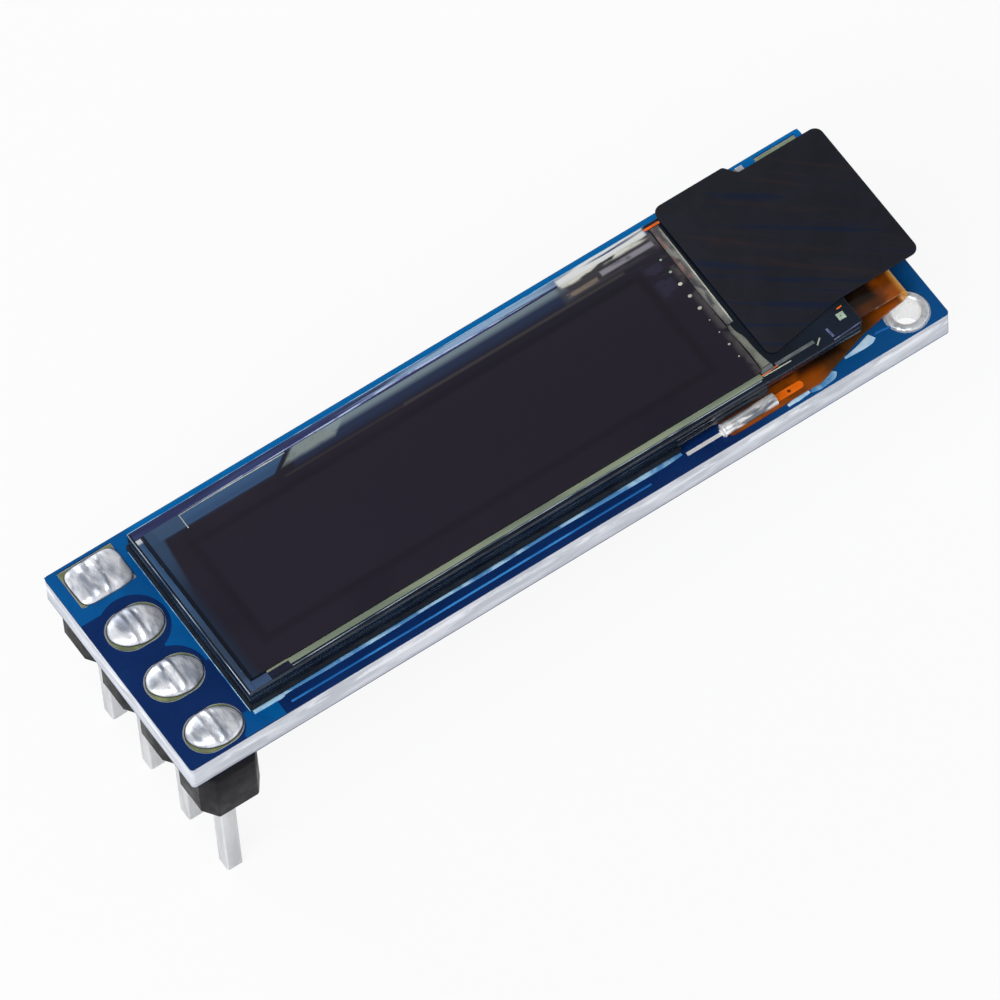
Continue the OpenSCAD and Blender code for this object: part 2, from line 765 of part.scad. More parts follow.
module regulator() {
    color("black") strip(reg_x - reg_l / 2, reg_x + reg_l / 2, 0, reg_w, under_z - reg_h, reg_h - reg_gap);
}

// Gull-wing legs: a foot on its land, a rise and a root in the body's side
module regulator_legs() {
    root_z = -(reg_h + reg_gap) / 2;
    t = leg_t;
    knee = leg_reach / 2;
    color("silver") for (leg = reg_legs) {
        turn = leg[1] > 0 ? 0 : 1;
        translate([leg[0] - leg_w / 2, leg[1] + (turn - 1 / 2) * leg_reach, under_z]) mirror([0, turn, 0])
            rotate([90, 0, 90]) linear_extrude(leg_w)
                polygon([[0, root_z + t / 2], [0, root_z - t / 2], [knee, root_z - t / 2], [knee, -t],
                         [leg_reach, -t], [leg_reach, 0], [knee - t, 0], [knee - t, root_z + t / 2]]);
    }
}

board_core();
solder_mask_top();
solder_mask_bottom();
for (i = [0 : pin_count - 1]) {
    pin_land(i);
    header_pin(i);
    solder_joint(i);
}
header_housing();
corner_eyelet();
adhesive_pad();
cover_glass();
display_seal();
light_layer();
electrodes();
front_glass();
polarizer();
driver_chip();
flex_cable();
flex_fingers();
flex_solder();
finger_lands();
shield_tape();
small_capacitor();
small_capacitor_ends();
far_land();
back_lands();
capacitors();
capacitor_ends();
resistors();
resistor_ends();
regulator();
regulator_legs();
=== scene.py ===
"""Finishing scene for a small display module: board, pin header, glass stack, folded flex cable and tape.

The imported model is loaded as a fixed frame. Each sub-assembly below dresses its own CAD nodes, makes
finely worked copies of those whose edges show, and adds the small trim that the solids leave out.
Sizes are in millimetres, in the frame's own axes, and turn into metres at the bench.
"""

import json
import logging
import math
from contextlib import contextmanager
from dataclasses import dataclass, replace
from enum import Enum
from typing import Callable, Iterator, Optional, Sequence

import bmesh
import bpy
from mathutils import Matrix, Vector, noise
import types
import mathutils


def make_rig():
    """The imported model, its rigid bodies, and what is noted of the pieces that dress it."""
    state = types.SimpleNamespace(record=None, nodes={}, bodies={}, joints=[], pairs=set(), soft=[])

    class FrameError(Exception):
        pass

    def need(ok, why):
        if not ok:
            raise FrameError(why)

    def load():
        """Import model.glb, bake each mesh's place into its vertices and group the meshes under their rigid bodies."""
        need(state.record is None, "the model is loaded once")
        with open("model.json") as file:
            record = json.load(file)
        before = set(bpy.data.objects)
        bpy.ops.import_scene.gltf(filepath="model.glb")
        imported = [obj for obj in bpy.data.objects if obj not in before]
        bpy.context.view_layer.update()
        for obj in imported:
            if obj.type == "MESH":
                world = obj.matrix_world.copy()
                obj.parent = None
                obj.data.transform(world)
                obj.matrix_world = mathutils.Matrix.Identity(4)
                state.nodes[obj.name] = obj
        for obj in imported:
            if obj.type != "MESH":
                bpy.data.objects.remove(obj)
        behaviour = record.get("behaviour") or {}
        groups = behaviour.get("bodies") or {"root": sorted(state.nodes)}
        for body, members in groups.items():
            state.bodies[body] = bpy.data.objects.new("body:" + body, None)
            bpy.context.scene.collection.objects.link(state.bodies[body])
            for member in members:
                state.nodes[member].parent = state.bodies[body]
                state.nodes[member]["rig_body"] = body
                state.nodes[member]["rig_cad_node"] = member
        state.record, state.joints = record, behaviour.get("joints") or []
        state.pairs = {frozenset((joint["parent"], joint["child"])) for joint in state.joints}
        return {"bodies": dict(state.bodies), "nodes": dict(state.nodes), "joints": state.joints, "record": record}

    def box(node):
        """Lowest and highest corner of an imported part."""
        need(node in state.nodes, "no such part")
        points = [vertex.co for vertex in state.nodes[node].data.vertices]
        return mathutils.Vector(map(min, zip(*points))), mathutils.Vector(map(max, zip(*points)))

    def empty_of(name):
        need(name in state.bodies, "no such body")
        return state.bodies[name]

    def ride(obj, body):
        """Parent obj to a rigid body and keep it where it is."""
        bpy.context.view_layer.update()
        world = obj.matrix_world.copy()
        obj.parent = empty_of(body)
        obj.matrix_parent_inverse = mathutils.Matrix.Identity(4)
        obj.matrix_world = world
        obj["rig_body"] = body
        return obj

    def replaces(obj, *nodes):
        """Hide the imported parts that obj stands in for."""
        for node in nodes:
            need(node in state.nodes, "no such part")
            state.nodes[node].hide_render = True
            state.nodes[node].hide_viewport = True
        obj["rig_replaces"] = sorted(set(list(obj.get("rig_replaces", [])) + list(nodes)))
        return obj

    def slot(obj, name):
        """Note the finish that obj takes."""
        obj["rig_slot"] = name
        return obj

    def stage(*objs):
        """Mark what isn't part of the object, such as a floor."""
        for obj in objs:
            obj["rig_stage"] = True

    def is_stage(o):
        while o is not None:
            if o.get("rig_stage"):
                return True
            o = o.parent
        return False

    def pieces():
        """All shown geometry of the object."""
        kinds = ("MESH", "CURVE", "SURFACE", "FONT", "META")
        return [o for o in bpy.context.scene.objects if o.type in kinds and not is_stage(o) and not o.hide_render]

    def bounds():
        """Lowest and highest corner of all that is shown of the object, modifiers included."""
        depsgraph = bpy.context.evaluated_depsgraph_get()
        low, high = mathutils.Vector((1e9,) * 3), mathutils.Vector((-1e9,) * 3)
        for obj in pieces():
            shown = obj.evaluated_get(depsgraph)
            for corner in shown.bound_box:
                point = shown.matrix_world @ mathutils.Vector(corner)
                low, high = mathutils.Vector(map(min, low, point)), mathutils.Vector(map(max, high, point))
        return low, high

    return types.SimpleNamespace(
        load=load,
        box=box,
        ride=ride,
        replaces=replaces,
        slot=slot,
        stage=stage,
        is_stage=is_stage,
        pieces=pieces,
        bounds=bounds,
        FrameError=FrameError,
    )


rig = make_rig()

LOG = logging.getLogger("display_module")

BODY = "root"
MM = 0.001
SIZE_FILE = "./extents.json"
MERGE_MM = 0.0005
FLAT_DEGREES = 0.6
EDGE_DEGREES = 35.0
EASE_STEPS = 4
BEAD_STEPS = 2
LEAST_SHARE = 0.05
TOOL_REACH = 1.0
SPECK_SHARE = 0.4
OPEN = 90.0
UP = (0.0, 0.0, 1.0)

Rgb = tuple[float, float, float]
Point = tuple[float, float, float]
Flat = tuple[float, float]
Piece = bpy.types.Object
Socket = bpy.types.NodeSocket
Given = bpy.types.bpy_prop_collection


class Shading(Enum):
    """How a piece is smoothed: the widest angle, in degrees, that still shades as one surface."""

    CRISP = 28.0
    TURNED = 42.0
    MOLTEN = 75.0


def linear(rgb: Rgb) -> tuple[float, float, float, float]:
    """Turns a display colour into the scene's own.

    Args:
        rgb: red, green and blue from 0 to 255.

    Returns:
        The linear colour with a full alpha.
    """
    parts = [c / 255.0 for c in rgb]
    bent = [p / 12.92 if p <= 0.04045 else ((p + 0.055) / 1.055) ** 2.4 for p in parts]
    return (bent[0], bent[1], bent[2], 1.0)


def metres(point: Sequence[float]) -> Vector:
    """A point in millimetres as a vector in metres."""
    return Vector([c * MM for c in point])


def box_mm(node: str) -> tuple[Vector, Vector]:
    """A CAD node's lowest and highest corners, in millimetres."""
    low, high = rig.box(node)
    return low / MM, high / MM


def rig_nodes() -> dict[str, Piece]:
    """The CAD nodes by name."""
    return {o["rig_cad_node"]: o for o in bpy.context.scene.objects if "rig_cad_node" in o}


# ----- Shader desk -----


class Desk:
    """Adds nodes to one tree and joins them."""

    def __init__(self, tree: bpy.types.NodeTree) -> None:
        """Takes the tree to work in, and empties it."""
        self.tree = tree
        tree.nodes.clear()

    def add(self, kind: str, feeds: Optional[dict] = None, **settings: object) -> bpy.types.Node:
        """Adds a node, sets it and feeds its inputs.

        Args:
            kind: the node's type name.
            feeds: input names or numbers, each with a socket to link or a plain value.
            settings: properties of the node to set first.

        Returns:
            The new node.
        """
        node = self.tree.nodes.new(kind)
        for key, value in settings.items():
            setattr(node, key, value)
        for key, value in (feeds or {}).items():
            if isinstance(value, Socket):
                self.tree.links.new(value, node.inputs[key])
            else:
                node.inputs[key].default_value = value
        return node

    def calc(self, kind: str, *values: object) -> Socket:
        """A Math node's result, from sockets or numbers in order."""
        return self.add("ShaderNodeMath", dict(enumerate(values)), operation=kind).outputs[0]

    def vector(self, kind: str, *values: object) -> Socket:
        """A Vector Math node's vector, from sockets or tuples in order."""
        return self.add("ShaderNodeVectorMath", dict(enumerate(values)), operation=kind).outputs[0]

    def blend(self, share: object, first: object, second: object) -> Socket:
        """Two colours mixed by a share."""
        return self.add("ShaderNodeMix", {0: share, 6: first, 7: second}, data_type="RGBA").outputs[2]

    def span(self, value: object, low: object, high: object, start: float = 0.0, end: float = 1.0) -> Socket:
        """A value mapped smoothly from low and high to start and end."""
        feeds = dict(enumerate((value, low, high, start, end)))
        return self.add("ShaderNodeMapRange", feeds, interpolation_type="SMOOTHSTEP").outputs[0]

    def parts(self, vector: Socket) -> Given:
        """A vector's three parts."""
        return self.add("ShaderNodeSeparateXYZ", {0: vector}).outputs

    def cloud(self, place: Socket, scale: object, detail: float = 2.0, distortion: float = 0.0) -> Socket:
        """A noise texture's value."""
        feeds = {"Vector": place, "Scale": scale, "Detail": detail, "Distortion": distortion}
        return self.add("ShaderNodeTexNoise", feeds).outputs[0]


Inner = Callable[[Desk, Given], Socket]


class Effect:
    """A shader node group with named inputs and one output, built once and placed in many materials."""

    def __init__(self, name: str, output: str, inner: Inner, **inputs: object) -> None:
        """Builds the group.

        Args:
            name: the group's name.
            output: the name of its output.
            inner: builds what is inside, from the group's desk and its given sockets.
            inputs: the starting value of each input beside Place; a tuple makes a vector.
        """
        self.tree = bpy.data.node_groups.new(name, "ShaderNodeTree")
        face = self.tree.interface
        for label, start in {"Place": (0.0, 0.0, 0.0), **inputs}.items():
            kind = "NodeSocketVector" if isinstance(start, tuple) else "NodeSocketFloat"
            face.new_socket(label, in_out="INPUT", socket_type=kind).default_value = start
        face.new_socket(output, in_out="OUTPUT", socket_type="NodeSocketFloat")
        desk = Desk(self.tree)
        desk.add("NodeGroupOutput", {0: inner(desk, desk.add("NodeGroupInput").outputs)})

    def place(self, desk: Desk, **values: object) -> Socket:
        """Places the group in a material.

        Args:
            desk: the material's desk.
            values: input names and what feeds them.

        Returns:
            The group's output socket in that material.
        """
        return desk.add("ShaderNodeGroup", values, node_tree=self.tree).outputs[0]


class Effects:
    """The effects that the finishes share."""

    def __init__(self) -> None:
        """Builds every group once."""
        even = (1.0, 1.0, 1.0)
        self.mottle = Effect("cloudy_patches", "Mask", self._mottle, Scale=1.0, Low=0.35, High=0.65)
        self.streaks = Effect(
            "drawn_streaks", "Mask", self._streaks, Stretch=even, Scale=1.0, Low=0.4, High=0.6
        )
        self.specks = Effect("fine_specks", "Mask", self._specks, Scale=4.0, Size=0.1)
        self.zone = Effect("soft_box", "Mask", self._zone, Low=(0.0, 0.0, 0.0), High=even, Feather=0.1)
        # Lighter edges: part scuffing, part painted edge highlight.
        self.wear_and_glint = Effect("rubbed_and_highlit_edges", "Mask", self._wear_and_glint, Scale=3.0, Width=0.00005)
        self.relief = Effect(
            "two_grain_relief", "Height", self._relief, Stretch=even, Coarse=1.0, Fine=8.0, Share=0.4
        )

    def streaked(self, desk: Desk, place: Socket, stretch: Point, scale: float, span: Flat) -> Socket:
        """Places the streaks in a material.

        Args:
            desk: the material's desk.
            place: the coordinates.
            stretch: the factor on each axis before the noise.
            scale: the noise's scale.
            span: the noise values that become 0 and 1.

        Returns:
            The mask.
        """
        return self.streaks.place(desk, Place=place, Stretch=stretch, Scale=scale, Low=span[0], High=span[1])

    @staticmethod
    def _mottle(desk: Desk, given: Given) -> Socket:
        """Soft cloudy patches, from 0 to 1."""
        return desk.span(desk.cloud(given["Place"], given["Scale"], 4.0), given["Low"], given["High"])

    @staticmethod
    def _streaks(desk: Desk, given: Given) -> Socket:
        """Drawn-out streaks: the place is stretched first, then clouded."""
        pulled = desk.vector("MULTIPLY", given["Place"], given["Stretch"])
        return desk.span(desk.cloud(pulled, given["Scale"], 3.0, 0.4), given["Low"], given["High"])

    @staticmethod
    def _specks(desk: Desk, given: Given) -> Socket:
        """Fine scattered specks of dust or filler."""
        cells = desk.add("ShaderNodeTexVoronoi", {"Vector": given["Place"], "Scale": given["Scale"]}).outputs
        near = desk.calc("LESS_THAN", cells["Distance"], given["Size"])
        chance = desk.add("ShaderNodeSeparateColor", {0: cells["Color"]}).outputs[0]
        return desk.calc("MULTIPLY", near, desk.calc("LESS_THAN", chance, SPECK_SHARE))

    @staticmethod
    def _zone(desk: Desk, given: Given) -> Socket:
        """A soft-edged box: 1 inside Low and High, 0 outside, over a Feather.

        Args:
            desk: the group's desk.
            given: the group's own inputs.

        Returns:
            The mask.
        """
        above = desk.vector("SUBTRACT", given["Place"], given["Low"])
        below = desk.vector("SUBTRACT", given["High"], given["Place"])
        x, y, z = desk.parts(desk.vector("MINIMUM", above, below))
        least = desk.calc("MINIMUM", desk.calc("MINIMUM", x, y), z)
        half = desk.calc("MULTIPLY", given["Feather"], 0.5)
        return desk.span(least, desk.calc("MULTIPLY", half, -1.0), half)

    @staticmethod
    def _wear_and_glint(desk: Desk, given: Given) -> Socket:
        """Lighter edges, part scuffed and part painted edge highlight, broken up so that the line isn't even.

        Args:
            desk: the group's desk.
            given: the group's own inputs.

        Returns:
            The mask.
        """
        eased = desk.add("ShaderNodeBevel", {"Radius": given["Width"]}, samples=4).outputs[0]
        flat = desk.add("ShaderNodeNewGeometry").outputs["Normal"]
        turn = desk.add("ShaderNodeVectorMath", {0: eased, 1: flat}, operation="DOT_PRODUCT").outputs["Value"]
        edge = desk.span(desk.calc("SUBTRACT", 1.0, turn), 0.01, 0.12)
        broken = desk.span(desk.cloud(given["Place"], given["Scale"]), 0.35, 0.6)
        return desk.calc("MULTIPLY", edge, broken)

    @staticmethod
    def _relief(desk: Desk, given: Given) -> Socket:
        """A height that sums a coarse and a fine grain."""
        pulled = desk.vector("MULTIPLY", given["Place"], given["Stretch"])
        coarse, fine = (desk.cloud(pulled, given[label]) for label in ("Coarse", "Fine"))
        feeds = {0: given["Share"], 2: coarse, 3: fine}
        return desk.add("ShaderNodeMix", feeds, data_type="FLOAT").outputs[0]


@dataclass(frozen=True)
class Streaks:
    """Streaks that break a zone up: the stretch, the scale, the cut-off span and the turn about Z."""

    stretch: Point
    scale: float
    span: Flat = (0.42, 0.6)
    degrees: float = 0.0


@dataclass(frozen=True)
class Zone:
    """A soft-edged box of a finish with its own colour, open on each axis that it doesn't name.

    Lean slides the box along X by that share of Y, and fade brings it in between two values of Y.
    """

    colour: Rgb
    amount: float
    feather: float
    x: Flat = (-OPEN, OPEN)
    y: Flat = (-OPEN, OPEN)
    z: Flat = (-OPEN, OPEN)
    streaks: Optional[Streaks] = None
    lean: float = 0.0
    fade: Optional[Flat] = None

    def mask(self, desk: Desk, effects: Effects, place: Socket) -> Socket:
        """Where the zone shows, and how strongly.

        Args:
            desk: the material's desk.
            effects: the shared node groups.
            place: the coordinates in millimetres.

        Returns:
            The mask.
        """
        spot = place
        if self.lean:
            x, y, z = desk.parts(place)
            slid = desk.calc("MULTIPLY_ADD", y, -self.lean, x)
            spot = desk.add("ShaderNodeCombineXYZ", {0: slid, 1: y, 2: z}).outputs[0]
        low, high = zip(self.x, self.y, self.z)
        mask = effects.zone.place(desk, Place=spot, Low=low, High=high, Feather=self.feather)
        if self.streaks:
            lines = self.streaks
            feeds = {"Vector": place, "Angle": math.radians(lines.degrees)}
            turned = desk.add("ShaderNodeVectorRotate", feeds, rotation_type="Z_AXIS").outputs[0]
            broken = effects.streaked(desk, turned, lines.stretch, lines.scale, lines.span)
            mask = desk.calc("MULTIPLY", mask, broken)
        if self.fade:
            mask = desk.calc("MULTIPLY", mask, desk.span(desk.parts(place)[1], *self.fade))
        return desk.calc("MULTIPLY", mask, self.amount)


@dataclass(frozen=True)
class Specks:
    """Specks on a finish: their colour, how strongly they show, their scale and their size."""

    colour: Rgb
    amount: float
    scale: float = 3.0
    size: float = 0.08


@dataclass(frozen=True)
class Finish:
    """A material: its colours, roughness, relief, scuffed edges with painted edge highlight, specks and zones, and the
    shader's constants.
    """

    name: str
    slot: str
    base: Rgb
    drift: Rgb
    drift_scale: float
    rough: Flat
    relief: float
    relief_scale: Flat = (2.0, 14.0)
    relief_fine: float = 0.4
    metallic: float = 0.0
    specular: float = 0.5
    alpha: float = 1.0
    rough_scale: float = 2.0
    drift_span: Flat = (0.35, 0.65)
    stretch: Point = (1.0, 1.0, 1.0)
    worn_and_glint: Optional[tuple[Rgb, float]] = None
    specks: Optional[Specks] = None
    zones: tuple[Zone, ...] = ()

    def build(self, effects: Effects) -> bpy.types.Material:
        """Makes the material.

        Args:
            effects: the shared node groups.

        Returns:
            The finished material.
        """
        made = bpy.data.materials.new(self.name)
        made.use_nodes = True
        desk = Desk(made.node_tree)
        own = desk.add("ShaderNodeTexCoord").outputs["Object"]
        place = desk.vector("MULTIPLY", own, (1.0 / MM,) * 3)
        patches = effects.mottle.place(desk, Place=place, Scale=self.rough_scale)
        rough = desk.add("ShaderNodeMapRange", dict(enumerate((patches, 0.0, 1.0, *self.rough))))
        coarse, fine = self.relief_scale
        height = effects.relief.place(
            desk, Place=place, Stretch=self.stretch, Coarse=coarse, Fine=fine, Share=self.relief_fine
        )
        bump = desk.add("ShaderNodeBump", {"Strength": 1.0, "Distance": self.relief * MM, "Height": height})
        feeds = {
            "Base Color": self._colour(desk, effects, place),
            "Roughness": rough.outputs[0],
            "Normal": bump.outputs[0],
            "Metallic": self.metallic,
            "Specular IOR Level": self.specular,
            "Alpha": self.alpha,
        }
        shader = desk.add("ShaderNodeBsdfPrincipled", feeds)
        desk.add("ShaderNodeOutputMaterial", {"Surface": shader.outputs[0]})
        return made

    def _colour(self, desk: Desk, effects: Effects, place: Socket) -> Socket:
        """Lays the base, its drift, the zones, the scuffed edges with their painted edge highlight, and the specks
        over one another.

        Args:
            desk: the material's desk.
            effects: the shared node groups.
            place: the coordinates in millimetres.

        Returns:
            The colour.
        """
        drift = effects.streaked(desk, place, self.stretch, self.drift_scale, self.drift_span)
        colour = desk.blend(drift, linear(self.base), linear(self.drift))
        for zone in self.zones:
            colour = desk.blend(zone.mask(desk, effects, place), colour, linear(zone.colour))
        # Scuffed edges and painted edge highlight: the edges lighten towards the given tint.
        if self.worn_and_glint:
            tint, amount = self.worn_and_glint
            wear_and_glint_mask = effects.wear_and_glint.place(desk, Place=place)
            colour = desk.blend(desk.calc("MULTIPLY", wear_and_glint_mask, amount), colour, linear(tint))
        if self.specks:
            dots = effects.specks.place(desk, Place=place, Scale=self.specks.scale, Size=self.specks.size)
            share = desk.calc("MULTIPLY", dots, self.specks.amount)
            colour = desk.blend(share, colour, linear(self.specks.colour))
        return colour


class Palette:
    """Builds each finish once and lends it to the pieces."""

    def __init__(self, effects: Effects) -> None:
        """Takes the shared effects."""
        self.effects = effects
        self.made: dict[str, bpy.types.Material] = {}

    def dress(self, piece: Piece, finish: Finish) -> None:
        """Gives a piece its finish and names the record's slot for it.

        Args:
            piece: the piece.
            finish: its finish.
        """
        if finish.name not in self.made:
            self.made[finish.name] = finish.build(self.effects)
        material = self.made[finish.name]
        if len(piece.data.materials) == 0:
            piece.data.materials.append(material)
        for index in range(len(piece.data.materials)):
            piece.data.materials[index] = material
        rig.slot(piece, finish.slot)


# ----- Bench -----


class Bench:
    """Models pieces with the same operators as by hand, one piece at a time."""

    @staticmethod
    def hold(piece: Optional[Piece] = None) -> None:
        """Deselects everything, then selects the one piece.

        Args:
            piece: what to select, if anything.
        """
        if bpy.context.object and bpy.context.object.mode != "OBJECT":
            bpy.ops.object.mode_set(mode="OBJECT")
        bpy.ops.object.select_all(action="DESELECT")
        if piece is not None:
            piece.select_set(True)
            bpy.context.view_layer.objects.active = piece

    @staticmethod
    @contextmanager
    def opened(piece: Piece) -> Iterator[None]:
        """Opens a piece in edit mode with all of it selected, and closes it again.

        Args:
            piece: the piece to open.
        """
        Bench.hold(piece)
        bpy.ops.object.mode_set(mode="EDIT")
        bpy.ops.mesh.select_all(action="SELECT")
        yield
        bpy.ops.object.mode_set(mode="OBJECT")

    @staticmethod
    def name(name: str) -> Piece:
        """Names the newest primitive and returns it."""
        piece = bpy.context.object
        piece.name = piece.data.name = name
        return piece

    @staticmethod
    def settle(piece: Piece, shading: Shading = Shading.CRISP) -> Piece:
        """Puts the place into the mesh, smooths the faces and hands the piece on."""
        Bench.hold(piece)
        bpy.ops.object.transform_apply(location=True, rotation=True, scale=True)
        bpy.ops.object.shade_smooth_by_angle(angle=math.radians(shading.value))
        return piece

    @staticmethod
    def apply(piece: Piece, kind: str, **settings: object) -> None:
        """Adds a modifier, sets it and applies it.

        Args:
            piece: the piece to change.
            kind: the modifier's type.
            settings: its properties.
        """
        Bench.hold(piece)
        modifier = piece.modifiers.new(kind.lower(), kind)
        for key, value in settings.items():
            setattr(modifier, key, value)
        bpy.ops.object.modifier_apply(modifier=modifier.name)

    @staticmethod
    def block(name: str, low: Point, high: Point, rounding: float, segments: int = 2) -> Piece:
        """Makes a block with eased edges.

        Args:
            name: the piece's name.
            low: the lowest corner.
            high: the highest corner.
            rounding: the edges' radius.
            segments: the faces across each edge.

        Returns:
            The block.
        """
        centre = (metres(low) + metres(high)) / 2
        Bench.hold()
        bpy.ops.mesh.primitive_cube_add(size=MM, location=centre)
        piece = Bench.name(name)
        sides = [b - a for a, b in zip(low, high)]
        with Bench.opened(piece):
            bpy.ops.transform.resize(value=sides, center_override=centre)
            bpy.ops.mesh.bevel(offset=rounding * MM, segments=segments, affect="EDGES", clamp_overlap=True)
        return Bench.settle(piece)

    @staticmethod
    def sheet(name: str, low: Flat, high: Flat, z: float, rise: float) -> Piece:
        """A thin block with eased edges, half above a height and half below it."""
        return Bench.block(name, (*low, z - rise), (*high, z + rise), rise / 2, 1)

    @staticmethod
    def eased(path: Sequence[Point], taper: Sequence[float]) -> tuple[list[Point], list[float]]:
        """Adds points between those of an uneven path, on a smooth curve through them.

        Args:
            path: the points.
            taper: the share of the width at each; an even bead has none and keeps its path.

        Returns:
            The finer path and its shares.
        """
        if not taper:
            return list(path), []
        rows = [(*point, share) for point, share in zip(path, taper)]
        rows = [rows[0], *rows, rows[-1]]
        fine = []
        for a, b, c, d in zip(rows, rows[1:], rows[2:], rows[3:]):
            for step in range(EASE_STEPS):
                t = step / EASE_STEPS
                fine.append([
                    b[i]
                    + 0.5 * t * (c[i] - a[i])
                    + t * t * (a[i] - 2.5 * b[i] + 2 * c[i] - 0.5 * d[i])
                    + t * t * t * (1.5 * (b[i] - c[i]) + 0.5 * (d[i] - a[i]))
                    for i in range(4)
                ])
        fine.append(list(rows[-1]))
        return [tuple(row[:3]) for row in fine], [max(row[3], LEAST_SHARE) for row in fine]

    @staticmethod
    def bead(
        name: str, path: Sequence[Point], width: float, height: float, taper: Sequence[float] = ()
    ) -> Piece:
        """Draws a bead along a path: a chain of points, swept round and pressed flat.

        Args:
            name: the piece's name.
            path: the points that it follows.
            width: its width.
            height: how far it stands above and below its path.
            taper: the share of the width at each point, where it isn't even.

        Returns:
            The bead.
        """
        path, taper = Bench.eased(path, taper)
        points = [metres(p) for p in path]
        Bench.hold()
        bpy.ops.mesh.primitive_plane_add(size=MM, location=points[0])
        piece = Bench.name(name)
        with Bench.opened(piece):
            bpy.ops.mesh.merge(type="CENTER")
            for before, after in zip(points, points[1:]):
                bpy.ops.mesh.extrude_vertices_move(TRANSFORM_OT_translate={"value": after - before})
            bpy.ops.mesh.select_all(action="SELECT")
            bpy.ops.mesh.remove_doubles(threshold=MERGE_MM * MM)
        Bench.hold(piece)
        bpy.ops.object.convert(target="CURVE")
        piece = bpy.context.object
        piece.data.bevel_depth = width * MM / 2
        piece.data.bevel_resolution = BEAD_STEPS
        piece.data.use_fill_caps = True
        chain = piece.data.splines[0].points
        forward = len(chain) == 0 or (chain[0].co.to_3d() + piece.location - points[0]).length < MERGE_MM * MM
        for point, share in zip(chain if forward else reversed(chain), taper):
            point.radius = share
        bpy.ops.object.convert(target="MESH")
        piece = Bench.name(name)
        Bench.settle(piece)
        with Bench.opened(piece):
            bpy.ops.mesh.remove_doubles(threshold=MERGE_MM * MM)
            bpy.ops.mesh.normals_make_consistent(inside=False)
            bpy.ops.transform.resize(value=(1.0, 1.0, 2 * height / width), center_override=points[0])
        return Bench.settle(piece, Shading.MOLTEN)

    @staticmethod
    def dome(name: str, centre: Point, size: Sequence[float], segments: int = 24, rings: int = 6) -> Piece:
        """A flattened drop: a ball pressed to its three sizes and cut off below its middle.

        Args:
            name: the piece's name.
            centre: the middle of its flat underside.
            size: the ball's three diameters.
            segments: the ball's faces round.
            rings: the ball's faces from pole to pole.

        Returns:
            The drop, which still has to be settled.
        """
        spot = metres(centre)
        Bench.hold()
        bpy.ops.mesh.primitive_uv_sphere_add(
            segments=segments, ring_count=rings, radius=MM / 2, location=spot
        )
        piece = Bench.name(name)
        with Bench.opened(piece):
            bpy.ops.transform.resize(value=size, center_override=spot)
            bpy.ops.mesh.bisect(
                plane_co=spot, plane_no=UP, clear_inner=True, use_fill=True, threshold=MERGE_MM * MM / 5
            )
        return piece

    @staticmethod
    def cut(piece: Piece, tool: Piece, operation: str = "DIFFERENCE") -> None:
        """Cuts or joins one piece with another, and throws the tool away."""
        Bench.apply(piece, "BOOLEAN", object=tool, operation=operation, solver="EXACT")
        bpy.data.objects.remove(tool)

    @staticmethod
    def copy_of(node: str, name: str) -> Piece:
        """Copies a CAD node's mesh into a new piece, welds it and clears its flat triangles.

        Args:
            node: the CAD node.
            name: the piece's name.

        Returns:
            The piece.
        """
        piece = bpy.data.objects.new(name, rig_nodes()[node].data.copy())
        piece.data.name = name
        bpy.context.scene.collection.objects.link(piece)
        with Bench.opened(piece):
            bpy.ops.mesh.remove_doubles(threshold=MERGE_MM * MM)
            bpy.ops.mesh.dissolve_limited(angle_limit=math.radians(FLAT_DEGREES))
        return piece

    @staticmethod
    def worked(
        node: str, name: str, rounding: float, segments: int = 2, shading: Shading = Shading.CRISP
    ) -> Piece:
        """Makes the finely worked stand-in for a CAD node.

        Args:
            node: the node that it replaces.
            name: the piece's name.
            rounding: the radius that its edges are eased by.
            segments: the faces across each eased edge.
            shading: how it is smoothed.

        Returns:
            The piece, which replaces the node.
        """
        piece = Bench.copy_of(node, name)
        edge = math.radians(EDGE_DEGREES)
        Bench.apply(
            piece, "BEVEL", width=rounding * MM, segments=segments, limit_method="ANGLE", angle_limit=edge
        )
        Bench.settle(piece, shading)
        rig.replaces(piece, node)
        return piece


# ----- Finishes -----

LAMINATE = Finish(
    "woven_laminate", "laminate", (210, 213, 221), (186, 190, 199), 0.8, (0.55, 0.8), 0.012,
    relief_scale=(1.5, 8.0), specular=0.2, stretch=(0.7, 0.7, 3.0),
    specks=Specks((148, 152, 160), 0.35, 2.6, 0.1),
    zones=(
        Zone((238, 240, 244), 0.75, 0.12, z=(3.22, 3.52),
             streaks=Streaks((0.7, 0.7, 2.0), 1.1, (0.44, 0.6))),
        Zone((172, 176, 186), 0.5, 0.12, z=(2.4, 2.72)),
    ),
)
MASK = Finish(
    "blue_solder_mask", "solder_mask", (11, 40, 90), (14, 45, 98), 0.35, (0.25, 0.36), 0.002,
    relief_scale=(0.5, 9.0), specular=0.1, specks=Specks((60, 110, 170), 0.3, 1.7, 0.03),
    zones=(
        Zone((8, 76, 134), 0.95, 4.0, x=(23.5, OPEN)),
    ),
)
POUR = Finish(
    "mask_over_copper", "solder_mask", (2, 88, 152), (6, 78, 140), 0.4, (0.25, 0.36), 0.002,
    relief_scale=(0.5, 9.0), specular=0.1, specks=Specks((80, 150, 200), 0.3, 1.9, 0.03),
    zones=(
        Zone((0, 112, 184), 0.9, 0.8, x=(2.0, OPEN), y=(3.9, OPEN)),
    ),
)
TRACE = Finish(
    "mask_over_trace", "solder_mask", (58, 140, 216), (30, 104, 176), 0.9, (0.2, 0.35), 0.003,
    specular=0.2, drift_span=(0.42, 0.58), stretch=(0.5, 1.0, 1.0),
)
INK = Finish(
    "printed_ink", "solder_mask", (196, 222, 242), (150, 192, 226), 2.5, (0.5, 0.7), 0.006,
    relief_scale=(5.0, 22.0), specular=0.2, specks=Specks((90, 140, 190), 0.5, 6.0, 0.1),
)
